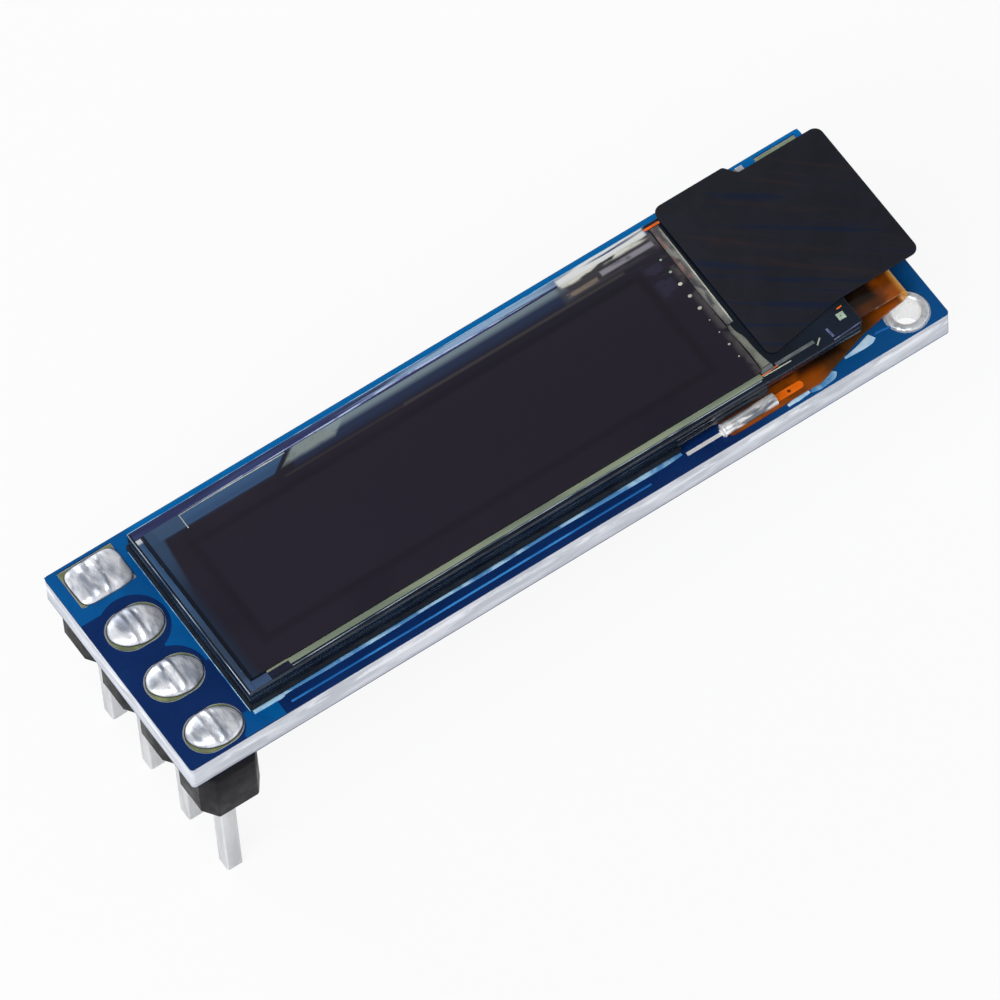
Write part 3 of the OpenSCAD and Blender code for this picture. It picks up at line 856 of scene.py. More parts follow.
GOLD = Finish(
    "gold_flash", "gold_land", (112, 124, 88), (150, 158, 116), 1.3, (0.34, 0.5), 0.004,
    relief_scale=(3.0, 18.0), metallic=0.4, specular=0.3, specks=Specks((60, 66, 50), 0.5, 4.0),
)
PALE_GOLD = Finish(
    "pale_gold_flash", "gold_land", (176, 184, 150), (150, 166, 136), 1.6, (0.3, 0.45), 0.004,
    relief_scale=(3.0, 18.0), metallic=0.4, specks=Specks((96, 106, 86), 0.5, 5.0),
)
PIN = Finish(
    "tinned_pin", "pin_metal", (212, 213, 214), (196, 197, 200), 1.1, (0.4, 0.55), 0.003,
    relief_scale=(3.0, 16.0), metallic=0.2, specular=0.3, stretch=(2.0, 2.0, 0.3),
    worn_and_glint=((240, 240, 240), 0.35), specks=Specks((168, 168, 172), 0.3, 4.0, 0.05),
)
SOLDER = Finish(
    "bright_solder", "solder", (248, 250, 255), (166, 173, 187), 1.3, (0.2, 0.36), 0.016,
    relief_scale=(1.6, 9.0), relief_fine=0.25, metallic=0.55, drift_span=(0.4, 0.66),
    stretch=(1.7, 0.7, 1.0), worn_and_glint=((250, 250, 252), 0.3), specks=Specks((84, 80, 80), 0.7, 2.2, 0.07),
)
PLASTIC = Finish(
    "moulded_black", "header_plastic", (24, 24, 27), (31, 31, 34), 0.9, (0.36, 0.52), 0.005,
    relief_scale=(2.0, 20.0), specular=0.08, worn_and_glint=((80, 82, 86), 0.4),
    specks=Specks((84, 84, 88), 0.3, 4.0, 0.05),
)
RING = Finish(
    "plated_ring", "eyelet_metal", (226, 230, 234), (186, 191, 196), 1.6, (0.24, 0.4), 0.008,
    relief_scale=(2.0, 12.0), metallic=0.5, drift_span=(0.42, 0.66), worn_and_glint=((250, 250, 250), 0.3),
    specks=Specks((120, 130, 110), 0.5, 3.5, 0.06),
    zones=(
        # Painted light: the bore's wall is near white, standing in for the light seen through the hole.
        Zone((252, 252, 252), 0.9, 0.02, x=(29.2, 30.3), y=(-4.42, -3.33), z=(2.3, 3.86)),
    ),
)
FOAM = Finish(
    "black_adhesive", "adhesive", (20, 26, 34), (32, 38, 46), 2.0, (0.6, 0.8), 0.02,
    relief_scale=(4.0, 16.0), specular=0.2, specks=Specks((80, 88, 100), 0.3),
)
# Squeezed-out glue; the same finish also paints the highlight along the far glass edge.
GLUE_AND_GLINT = Finish(
    "squeezed_glue_and_glint", "adhesive", (160, 202, 230), (70, 132, 186), 1.1, (0.18, 0.34), 0.008,
    relief_scale=(3.0, 10.0), specular=0.4, drift_span=(0.42, 0.6), stretch=(0.8, 0.8, 1.0),
    specks=Specks((236, 244, 250), 0.5, 4.0),
)
GLASS = Finish(
    "smoky_glass", "glass", (16, 23, 34), (24, 34, 48), 0.5, (0.05, 0.1), 0.0004,
    relief_scale=(0.4, 3.0), specular=0.3, alpha=0.85, rough_scale=0.8,
)
STEEL_GLASS = Finish(
    "steel_blue_margin", "glass", (58, 88, 124), (46, 70, 102), 0.9, (0.12, 0.22), 0.003, specular=0.3,
    stretch=(2.0, 0.3, 1.0), specks=Specks((150, 175, 205), 0.4, 4.0),
    zones=(
        Zone((206, 210, 212), 0.9, 0.12, y=(3.38, OPEN)),
        Zone((48, 60, 80), 0.8, 3.0, y=(-OPEN, -0.2)),
        Zone((60, 84, 118), 0.8, 0.2, y=(-OPEN, -3.4)),
    ),
)
# Painted highlight: the pale line along the ground edges of the glass, in a bright and a dim tone.
EDGE_GLINT = Finish(
    "painted_edge_glint", "glass", (170, 184, 196), (70, 86, 108), 0.7, (0.2, 0.4), 0.006,
    relief_scale=(3.0, 12.0), specular=0.4, drift_span=(0.4, 0.62), stretch=(0.8, 0.8, 1.0),
    specks=Specks((226, 234, 240), 0.5),
)
DIM_EDGE_GLINT = replace(
    EDGE_GLINT, name="dim_painted_edge_glint", base=(58, 66, 80), drift=(24, 30, 40), specular=0.3, specks=None,
)
MARGIN = Finish(
    "far_glass_margin", "glass", (40, 44, 80), (56, 66, 108), 0.8, (0.12, 0.22), 0.003, specular=0.3,
    stretch=(0.3, 4.0, 1.0),
    zones=(
        Zone((146, 176, 206), 0.85, 2.5, x=(11.0, 20.0),
             streaks=Streaks((0.16, 5.0, 1.0), 0.8, (0.44, 0.6))),
        # Painted reflection: the whitish streaky end of the far margin, beside the film's far right end.
        Zone((222, 224, 222), 0.95, 0.15, x=(19.8, 23.6),
             streaks=Streaks((0.22, 4.0, 1.0), 0.9, (0.34, 0.52))),
    ),
)
PALE_LINE = Finish(
    "lilac_white_line", "electrode", (176, 190, 226), (120, 134, 180), 1.0, (0.3, 0.45), 0.002,
    specular=0.2, drift_span=(0.45, 0.6),
)
WET_TIN = Finish(
    "wet_tin", "solder", (254, 254, 254), (110, 116, 126), 1.0, (0.15, 0.3), 0.02,
    relief_scale=(2.0, 9.0), metallic=0.3, drift_span=(0.5, 0.64), stretch=(0.5, 2.6, 1.0),
    specks=Specks((70, 66, 62), 0.6, 2.6, 0.07),
    zones=(
        Zone((96, 104, 114), 0.7, 0.1, x=(21.5, OPEN), y=(-OPEN, -4.24), z=(3.82, OPEN),
             streaks=Streaks((0.8, 1.4, 1.0), 1.6, (0.44, 0.56))),
        # Painted highlight: the lands' bare stretch is lifted to white.
        Zone((255, 255, 255), 0.9, 0.1, x=(19.0, 21.55)),
    ),
)
CREAM = Finish(
    "cream_line", "electrode", (204, 204, 184), (156, 162, 150), 1.2, (0.35, 0.5), 0.002, specular=0.2,
)
SEAL = Finish(
    "edge_seal", "seal", (96, 116, 146), (52, 68, 94), 0.55, (0.4, 0.6), 0.004, specular=0.3,
    stretch=(0.6, 0.6, 1.0),
    zones=(
        Zone((20, 30, 42), 0.95, 0.3, x=(2.0, OPEN), y=(-OPEN, -2.9)),
        Zone((150, 166, 178), 0.7, 0.4, x=(2.5, OPEN), y=(2.9, OPEN),
             streaks=Streaks((0.35, 1.6, 1.0), 0.7, (0.4, 0.62))),
    ),
)
LIT = Finish(
    "light_layer_black", "light_layer", (20, 18, 26), (28, 26, 34), 0.6, (0.3, 0.4), 0.002,
    specular=0.3,
)
WIRE = Finish(
    "pale_electrode", "electrode", (176, 180, 136), (150, 156, 120), 0.8, (0.35, 0.5), 0.003,
    specular=0.3, stretch=(0.4, 2.0, 1.0),
)
STRIP = Finish(
    "olive_strip", "electrode", (146, 156, 132), (118, 130, 114), 0.8, (0.35, 0.5), 0.002, specular=0.2,
    stretch=(0.3, 2.0, 1.0),
)
POLARIZER = Finish(
    "smoky_polarizer", "polarizer", (36, 32, 43), (32, 29, 40), 0.25, (0.16, 0.22), 0.001,
    relief_scale=(0.7, 30.0), relief_fine=0.5, specular=0.15, specks=Specks((72, 70, 84), 0.16, 5.0),
    zones=(
        Zone((25, 21, 25), 0.34, 0.22, x=(3.0, 22.5), y=(-2.65, 2.35)),
        Zone((36, 32, 43), 1.0, 0.22, x=(3.35, 22.15), y=(-2.35, 2.08)),
        Zone((30, 42, 60), 0.8, 0.5, x=(1.5, 2.15), y=(-4.0, 4.0)),
        Zone((58, 88, 124), 0.85, 0.07, x=(-OPEN, 2.98), y=(2.98, 3.9), lean=1.4),
        Zone((44, 66, 98), 0.6, 0.3, x=(-OPEN, 2.98), y=(2.98, 3.25), lean=1.4),
        Zone((48, 68, 94), 0.9, 0.16, x=(-OPEN, 2.08), y=(-OPEN, 3.9), lean=0.12, fade=(0.0, 2.7)),
        Zone((54, 74, 100), 0.9, 0.06, x=(2.3, 3.42), y=(2.98, 3.9)),
        Zone((38, 50, 76), 0.85, 0.45, x=(8.0, 20.0), y=(2.86, 3.6)),
        Zone((136, 147, 144), 0.78, 0.24, x=(3.3, 5.5), y=(3.08, 3.9),
             streaks=Streaks((1.0, 1.0, 1.0), 2.0, (0.2, 0.5)), lean=1.4),
        Zone((126, 142, 150), 0.75, 0.3, x=(9.6, 19.9), y=(3.3, 3.9)),
        # Painted reflection: the grey and whitish streaky patches at the film's far right end.
        Zone((70, 70, 74), 0.6, 0.25, x=(19.6, 23.8), y=(2.8, 3.9),
             streaks=Streaks((0.3, 2.0, 1.0), 0.8, (0.3, 0.5))),
        Zone((220, 220, 208), 0.9, 0.16, x=(19.8, 23.6), y=(3.38, 3.9),
             streaks=Streaks((0.5, 2.4, 1.0), 1.2, (0.38, 0.55))),
        Zone((150, 146, 156), 0.8, 0.1, x=(21.3, 23.55), y=(3.02, 3.24),
             streaks=Streaks((0.6, 1.2, 1.0), 1.6, (0.2, 0.5))),
        Zone((132, 118, 106), 0.8, 0.1, x=(19.8, 21.1), y=(2.92, 3.1),
             streaks=Streaks((0.6, 1.2, 1.0), 1.8, (0.2, 0.5))),
        Zone((82, 77, 74), 0.45, 0.12, x=(12.5, 22.0), y=(2.62, 2.73)),
        Zone((82, 77, 66), 0.22, 0.08, x=(7.4, 12.5), y=(2.62, 2.7)),
        Zone((54, 50, 72), 0.5, 0.3, x=(22.6, 23.3), y=(0.9, 2.6),
             streaks=Streaks((0.6, 2.2, 1.0), 1.3, (0.5, 0.6))),
        Zone((96, 92, 92), 0.5, 0.3, x=(23.5, 24.5), y=(-3.6, 3.7),
             streaks=Streaks((1.2, 1.2, 1.0), 1.4, (0.36, 0.56))),
        # Painted shadow: a dark line along the film's left edge.
        Zone((17, 19, 26), 0.9, 0.05, x=(1.5, 1.93), y=(-3.8, 3.62)),
    ),
)
SILICON = Finish(
    "driver_silicon", "silicon", (70, 74, 80), (54, 58, 66), 1.4, (0.2, 0.35), 0.003, metallic=0.3,
    stretch=(0.3, 3.0, 1.0),
)
LILAC = Finish(
    "lilac_mark", "electrode", (108, 114, 150), (70, 78, 112), 3.0, (0.35, 0.5), 0.002, specular=0.2,
)
# Painted shade: the dark line at the foot of each solder drop, with a few pale specks.
CONTACT_SHADE = Finish(
    "painted_contact_shade", "solder", (34, 40, 48), (64, 66, 56), 1.6, (0.2, 0.35), 0.004, specular=0.3,
    specks=Specks((190, 196, 200), 0.4, 4.0),
)
VIOLET = Finish(
    "violet_edge", "electrode", (38, 40, 66), (26, 28, 48), 2.0, (0.3, 0.45), 0.002, specular=0.2,
)
RESIN = Finish(
    "black_resin", "seal", (16, 17, 22), (24, 25, 30), 1.4, (0.25, 0.4), 0.01, relief_scale=(2.0, 9.0),
    specular=0.25, specks=Specks((70, 74, 84), 0.2),
)
FLEX = Finish(
    "amber_flex", "flex_film", (150, 72, 6), (112, 54, 6), 0.9, (0.2, 0.32), 0.006,
    relief_scale=(1.0, 6.0), specular=0.35, drift_span=(0.4, 0.62),
    specks=Specks((60, 30, 8), 0.3, 2.4),
    zones=(
        # Painted light: the dark zones are painted shade on both leaves of the folded film, and the bright amber zone
        # at the fold is a painted highlight.
        Zone((62, 44, 22), 0.85, 1.2, x=(26.0, 28.6), z=(-OPEN, 4.3)),
        Zone((18, 13, 10), 0.92, 0.5, x=(25.0, 27.0), y=(-3.98, OPEN), z=(-OPEN, 4.3),
             streaks=Streaks((0.7, 0.7, 1.0), 0.9, (0.2, 0.42))),
        Zone((58, 30, 9), 0.85, 0.7, x=(-OPEN, 29.15), z=(4.3, OPEN)),
        Zone((18, 13, 10), 0.9, 0.3, x=(-OPEN, 29.0), y=(-3.1, OPEN), z=(4.3, OPEN)),
        Zone((214, 148, 44), 0.85, 0.25, x=(29.85, OPEN)),
    ),
)
COPPER = Finish(
    "orange_copper", "copper", (246, 112, 14), (214, 88, 10), 1.6, (0.3, 0.45), 0.006,
    relief_scale=(3.0, 12.0), specular=0.3, worn_and_glint=((255, 176, 100), 0.3),
    specks=Specks((120, 60, 20), 0.4),
)
FINGER = replace(
    COPPER, name="orange_finger", base=(250, 116, 12), drift=(224, 94, 8),
    # Painted shade: the fingers darken where they run under the glass edge.
    zones=(Zone((64, 34, 12), 0.95, 0.05, x=(20.0, OPEN), y=(-3.93, OPEN)),),
)
TAPE = Finish(
    "matte_tape", "tape", (31, 32, 40), (28, 29, 36), 0.8, (0.6, 0.75), 0.002, relief_scale=(0.9, 14.0),
    specular=0.1, worn_and_glint=((96, 98, 106), 0.3), specks=Specks((60, 62, 74), 0.15, 4.0, 0.05),
    zones=(
        Zone((8, 26, 54), 0.55, 0.4, x=(20.0, OPEN),
             streaks=Streaks((0.16, 3.4, 1.0), 0.9, (0.57, 0.66), 38.0)),
        Zone((46, 34, 34), 0.4, 0.4, x=(20.0, OPEN),
             streaks=Streaks((0.2, 3.0, 1.0), 1.0, (0.58, 0.7), 42.0)),
    ),
)
CERAMIC = Finish(
    "tan_ceramic", "capacitor_body", (168, 138, 104), (150, 120, 88), 3.0, (0.4, 0.55), 0.006,
    specks=Specks((110, 84, 60), 0.4, 8.0),
)
RESISTOR = Finish(
    "black_resistor", "resistor_body", (28, 28, 30), (38, 38, 42), 3.0, (0.3, 0.45), 0.005,
    specular=0.3, worn_and_glint=((140, 140, 140), 0.3),
)
TIN = Finish(
    "tinned_end", "part_end", (214, 216, 220), (180, 184, 192), 2.2, (0.24, 0.4), 0.008,
    relief_scale=(4.0, 18.0), metallic=0.5, worn_and_glint=((245, 245, 248), 0.3),
    specks=Specks((120, 122, 128), 0.4, 6.0),
)
EPOXY = Finish(
    "black_epoxy", "regulator_body", (32, 32, 34), (42, 42, 45), 2.0, (0.45, 0.6), 0.01,
    relief_scale=(5.0, 22.0), specular=0.3, worn_and_glint=((110, 110, 114), 0.3),
    specks=Specks((76, 76, 80), 0.4, 7.0),
)
MILK = Finish(
    "milky_edge_glue", "seal", (132, 132, 128), (78, 76, 80), 1.6, (0.3, 0.5), 0.008,
    relief_scale=(3.0, 12.0), specular=0.3, drift_span=(0.4, 0.6), stretch=(1.6, 0.8, 1.0),
    zones=(
        Zone((142, 106, 92), 0.7, 0.12, x=(23.0, 23.95), y=(1.2, 4.0),
             streaks=Streaks((1.4, 0.8, 1.0), 1.6, (0.4, 0.6))),
        Zone((122, 126, 112), 0.6, 0.3, x=(23.0, 25.0), y=(-4.0, -1.3)),
    ),
)
MARK = Finish(
    "pale_etched_mark", "electrode", (176, 196, 175), (148, 168, 150), 5.0, (0.35, 0.5), 0.003,
    relief_scale=(6.0, 20.0), specular=0.2,
)
DULL_MARK = replace(
    MARK, name="grey_etched_bar", base=(112, 118, 118), drift=(84, 90, 94), drift_scale=3.0,
    stretch=(0.6, 3.0, 1.0),
)


# ----- Sub-assemblies -----


@dataclass(frozen=True)
class Stroke:
    """A bead laid at one height: its width, its rise, its spots and the share of the width at each."""

    name: str
    finish: Finish
    width: float
    height: float
    spots: Sequence[Flat]
    taper: Sequence[float] = ()


@dataclass(frozen=True)
class Plate:
    """A thin plate laid at one height, between two opposite corners."""

    name: str
    finish: Finish
    low: Flat
    high: Flat


@dataclass
class SubAssembly:
    """What every sub-assembly has: the palette, and how its pieces join the object."""

    palette: Palette
    title: str = "sub-assembly"

    def build(self) -> None:
        """Builds and dresses the pieces."""
        raise NotImplementedError

    def keep(self, finish: Finish, *nodes: str) -> None:
        """Keeps CAD nodes as they are and gives them a finish."""
        for node in nodes:
            self.palette.dress(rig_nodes()[node], finish)
            LOG.info("%s: %s keeps its solid, in %s", self.title, node, finish.name)

    def fit(self, piece: Piece, finish: Finish) -> None:
        """Fits a new piece to the object and gives it its finish."""
        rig.ride(piece, BODY)
        self.palette.dress(piece, finish)
        LOG.info("%s: %s, %d faces, in %s", self.title, piece.name, len(piece.data.polygons), finish.name)

    def stroke(self, z: float, *strokes: Stroke) -> None:
        """Lays strokes at a height."""
        for row in strokes:
            path = [(x, y, z) for x, y in row.spots]
            self.fit(Bench.bead(row.name, path, row.width, row.height, row.taper), row.finish)

    def plate(self, z: float, rise: float, *plates: Plate) -> None:
        """Lays plates that stand up from a height, and reach down from it, by a rise."""
        for row in plates:
            self.fit(Bench.sheet(row.name, row.low, row.high, z, rise), row.finish)


@dataclass
class Board(SubAssembly):
    """The laminate, its mask, the copper that shows through it and the ink on it."""

    title: str = "board"
    rise: float = 0.012
    margin: float = 0.015
    break_y: float = 2.36
    strip_start: Flat = (0.45, -1.35)
    corner_low_x: float = 0.75
    corner_high: Flat = (2.45, -3.9)
    far_side_y: float = 3.6
    lap: float = 0.5
    strip_lap: float = 0.4
    clearance_r: float = 1.3
    corner_clearance_r: float = 1.16
    land_gap: float = 0.06
    part_gap: float = 0.25
    window_rounding: float = 0.1
    strip_window_rounding: float = 0.05
    trace_w: float = 0.085
    back_trace_w: float = 0.25
    back_trace_gap: float = 0.5
    back_margins: Flat = (0.6, 3.2)
    back_rows: tuple[Flat, ...] = ((3.81, 3.5), (1.27, 1.4), (-1.27, -1.5), (-3.81, -3.7))
    back_half_w: float = 3.9

    def build(self) -> None:
        """Dresses the laminate and mask, then lays the pours, traces and ink."""
        self.keep(LAMINATE, "board_core")
        self.keep(MASK, "solder_mask_top", "solder_mask_bottom")
        low, high = box_mm("solder_mask_top")
        self._far_pour(low, high)
        self._corner_pour(low, high.z)
        self._strokes(high.z)
        self._back()

    @staticmethod
    def _window(pour: Piece, node: str, gap: float, rounding: float, z: float) -> None:
        """Cuts a rounded window through a pour, a gap wider than a node."""
        low, high = box_mm(node)
        first = (low.x - gap, low.y - gap, z - TOOL_REACH)
        last = (high.x + gap, high.y + gap, z + TOOL_REACH)
        Bench.cut(pour, Bench.block("window_tool", first, last, rounding))

    @staticmethod
    def _clear(pour: Piece, node: str, radius: float, z: float) -> None:
        """Cuts a round clearance through a pour, about a node's middle.

        Args:
            pour: the pour.
            node: the node to clear.
            radius: the clearance's radius.
            z: the pour's height.
        """
        low, high = box_mm(node)
        centre = (low + high) / 2
        spot = metres((centre.x, centre.y, z))
        Bench.hold()
        bpy.ops.mesh.primitive_cylinder_add(vertices=64, radius=radius * MM, depth=MM, location=spot)
        Bench.cut(pour, bpy.context.object)

    def _far_pour(self, low: Vector, high: Vector) -> None:
        """The lighter copper round the first pin, beside the glass and along the far side.

        Args:
            low: the mask's lowest corner.
            high: the mask's highest corner.
        """
        glass, _ = box_mm("cover_glass")
        z, edge, lap = high.z, self.margin, self.lap
        start, end = (low.x + edge, self.break_y), (glass.x + lap, high.y - edge)
        pour = Bench.sheet("far_copper_pour", start, end, z, self.rise)
        for start, end in (
            (self.strip_start, (glass.x + self.strip_lap, self.break_y + lap)),
            ((glass.x, self.far_side_y), (high.x - edge, high.y - edge)),
        ):
            Bench.cut(pour, Bench.sheet("pour_tool", start, end, z, self.rise), "UNION")
        for number in (2, 3):
            self._clear(pour, f"pin_land_{number}", self.clearance_r, z)
        self._window(pour, "pin_land_1", self.land_gap, self.window_rounding, z)
        self._window(pour, "far_land", self.land_gap, self.strip_window_rounding, z)
        self.fit(Bench.settle(pour), POUR)

    def _corner_pour(self, low: Vector, z: float) -> None:
        """The pour by the near corner of the glass, cleared about the last pin."""
        start = (self.corner_low_x, low.y + self.margin)
        corner = Bench.sheet("near_corner_pour", start, self.corner_high, z, self.rise)
        self._clear(corner, "pin_land_4", self.corner_clearance_r, z)
        self.fit(Bench.settle(corner), POUR)

    def _strokes(self, z: float) -> None:
        """The traces along the near side, the printed wedge and the tinned spots along the flex.

        Args:
            z: the mask's upper face.
        """
        self.stroke(
            z,
            Stroke("near_trace", TRACE, self.trace_w, self.rise,
                   [(2.85, -4.50), (8.0, -4.52), (13.0, -4.51), (18.25, -4.50)]),
            Stroke("corner_trace", TRACE, self.trace_w, self.rise,
                   [(28.3, -3.98), (28.5, -3.98), (28.75, -4.02), (28.95, -4.06)]),
            Stroke("ink_wedge", INK, 0.36, 0.015,
                   [(26.85, -4.2), (27.25, -4.18), (27.65, -4.14), (27.98, -4.08), (28.16, -4.0)],
                   (0.25, 0.5, 0.8, 1.0, 0.85)),
            Stroke("white_spot", INK, 0.2, 0.05,
                   [(24.06, -4.66), (24.3, -4.63), (24.55, -4.62), (24.8, -4.6), (25.02, -4.6)],
                   (0.6, 0.8, 1.0, 0.9, 0.7)),
            Stroke("pale_spot", GLUE_AND_GLINT, 0.26, 0.04,
                   [(25.08, -4.6), (25.4, -4.66), (25.75, -4.62), (26.05, -4.55), (26.2, -4.42)],
                   (0.7, 0.8, 0.9, 1.1, 0.9)),
        )

    def _back(self) -> None:
        """Traces under the board, from the pins to the parts, and one pour round the regulator."""
        z = box_mm("solder_mask_bottom")[0].z
        low, high = box_mm("regulator_legs")
        end = low.x - self.back_trace_gap
        for number, (start, row) in enumerate(self.back_rows, 1):
            spots = [(1.0, start), (2.0, start), (2.8, row), (end, row)]
            self.stroke(z, Stroke(f"back_trace_{number}", TRACE, self.back_trace_w, self.rise, spots))
        half = self.back_half_w
        near, far = self.back_margins
        pour = Bench.sheet("back_pour", (low.x - near, -half), (high.x + far, half), z, self.rise)
        self._window(pour, "regulator_legs", self.part_gap, self.window_rounding, z)
        self.fit(Bench.settle(pour), POUR)


@dataclass
class PinHeader(SubAssembly):
    """The moulded housing, its four square pins and their solder joints.

    The first joint is squarer than the others, so the pairs hold the others' value and then its own.
    """

    title: str = "pin header"
    count: int = 4
    spreads: tuple[tuple[float, ...], ...] = ((1.04, 1.07, 0.03, 0.02), (1.08, 1.14, 0.04, -0.07))
    powers: Flat = (2.0, 5.0)
    eggs: Flat = (0.1, 0.01)
    drop_height: float = 0.82
    ragged: float = 0.02
    ridges: tuple[Point, ...] = (
        (-0.3, 0.07, 0.06), (-0.16, 0.08, -0.07), (0.06, 0.08, 0.07), (0.2, 0.07, -0.05),
    )
    drop_segments: int = 72
    drop_rings: int = 44
    contact_shade_steps: int = 40
    housing_rounding: float = 0.07
    pin_rounding: float = 0.045

    def build(self) -> None:
        """Works the housing, the pins, their lands and the solder."""
        self.fit(Bench.worked("header_housing", "moulded_housing", self.housing_rounding), PLASTIC)
        for number in range(1, self.count + 1):
            self.fit(Bench.worked(f"header_pin_{number}", f"tinned_pin_{number}", self.pin_rounding), PIN)
            self.keep(GOLD, f"pin_land_{number}")
            self._drop(number)
            self._contact_shade(number)

    def _sizes(self, number: int) -> tuple[Vector, Vector]:
        """Where a joint's drop stands, and its three half sizes.

        Args:
            number: the pin's number.

        Returns:
            The middle of the drop's underside, and the half sizes.
        """
        low, high = box_mm(f"solder_joint_{number}")
        top = box_mm(f"pin_land_{number}")[1].z
        spread_x, spread_y, shift_x, shift_y = self.spreads[number == 1]
        centre = Vector(((low.x + high.x) / 2 + shift_x, (low.y + high.y) / 2 + shift_y, top))
        half_x, half_y = (high.x - low.x) / 2 * spread_x, (high.y - low.y) / 2 * spread_y
        return centre, Vector((half_x, half_y, (high.z - top) * self.drop_height))

    def _outline(self, number: int, u: float, v: float) -> float:
        """How far a drop reaches out at a place on its round, squarer on the first pin.

        Args:
            number: the pin's number.
            u: the place along X, from -1 to 1.
            v: the place along Y, from -1 to 1.

        Returns:
            The factor on both.
        """
        reach = math.hypot(u, v)
        if reach < 0.001:
            return 1.0
        power = self.powers[number == 1]
        corner = (abs(u / reach) ** power + abs(v / reach) ** power) ** (-1.0 / power)
        ragged = self.ragged * noise.noise(Vector((u / reach * 2.4, v / reach * 2.4, number * 2.3)))
        return corner - self.eggs[number == 1] * u * v + ragged * reach

    def _drop(self, number: int) -> None:
        """The sheared drop of solder on one pin, with the pin's two sides showing as ridges.

        Args:
            number: the pin's number.
        """
        centre, half = self._sizes(number)
        name = f"solder_drop_{number}"
        piece = Bench.dome(name, centre, 2 * half, self.drop_segments, self.drop_rings)
        with Bench.opened(piece):
            mesh = bmesh.from_edit_mesh(piece.data)
            for vert in mesh.verts:
                here = vert.co / MM
                u, v = here.x / half.x, here.y / half.y
                out = self._outline(number, u, v)
                crest = sum(high * math.exp(-(((here.x - at) / wide) ** 2)) for at, wide, high in self.ridges)
                wobble = noise.noise(Vector((here.x * 2.1, here.y * 1.4, number * 3.7)))
                fine = noise.noise(Vector((here.x * 7.0, here.y * 3.0, number * 5.1)))
                lift = here.z / half.z * (crest * (1.0 - 0.5 * v * v) + 0.035 * wobble + 0.012 * fine)
                vert.co = Vector((here.x * out, here.y * out, here.z + lift)) * MM
            bmesh.update_edit_mesh(piece.data)
        Bench.settle(piece, Shading.MOLTEN)
        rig.replaces(piece, f"solder_joint_{number}")
        self.fit(piece, SOLDER)

    def _contact_shade(self, number: int) -> None:
        """Painted shade: the dark line where a drop meets its land.

        Args:
            number: the pin's number.
        """
        centre, half = self._sizes(number)
        spots = []
        for index in range(self.contact_shade_steps + 1):
            turn = 2 * math.pi * index / self.contact_shade_steps
            u, v = math.cos(turn), math.sin(turn)
            out = self._outline(number, u, v)
            spots.append((centre.x + half.x * u * out, centre.y + half.y * v * out))
        self.stroke(centre.z, Stroke(f"contact_shade_line_{number}", CONTACT_SHADE, 0.07, 0.02, spots))


@dataclass
class CornerHole(SubAssembly):
    """The plated eyelet in the corner."""

    title: str = "corner hole"
    rounding: float = 0.035

    def build(self) -> None:
        """Works the ring."""
        self.fit(Bench.worked("corner_eyelet", "plated_eyelet", self.rounding, 3, Shading.TURNED), RING)
        self.keep(PALE_GOLD, "far_land")


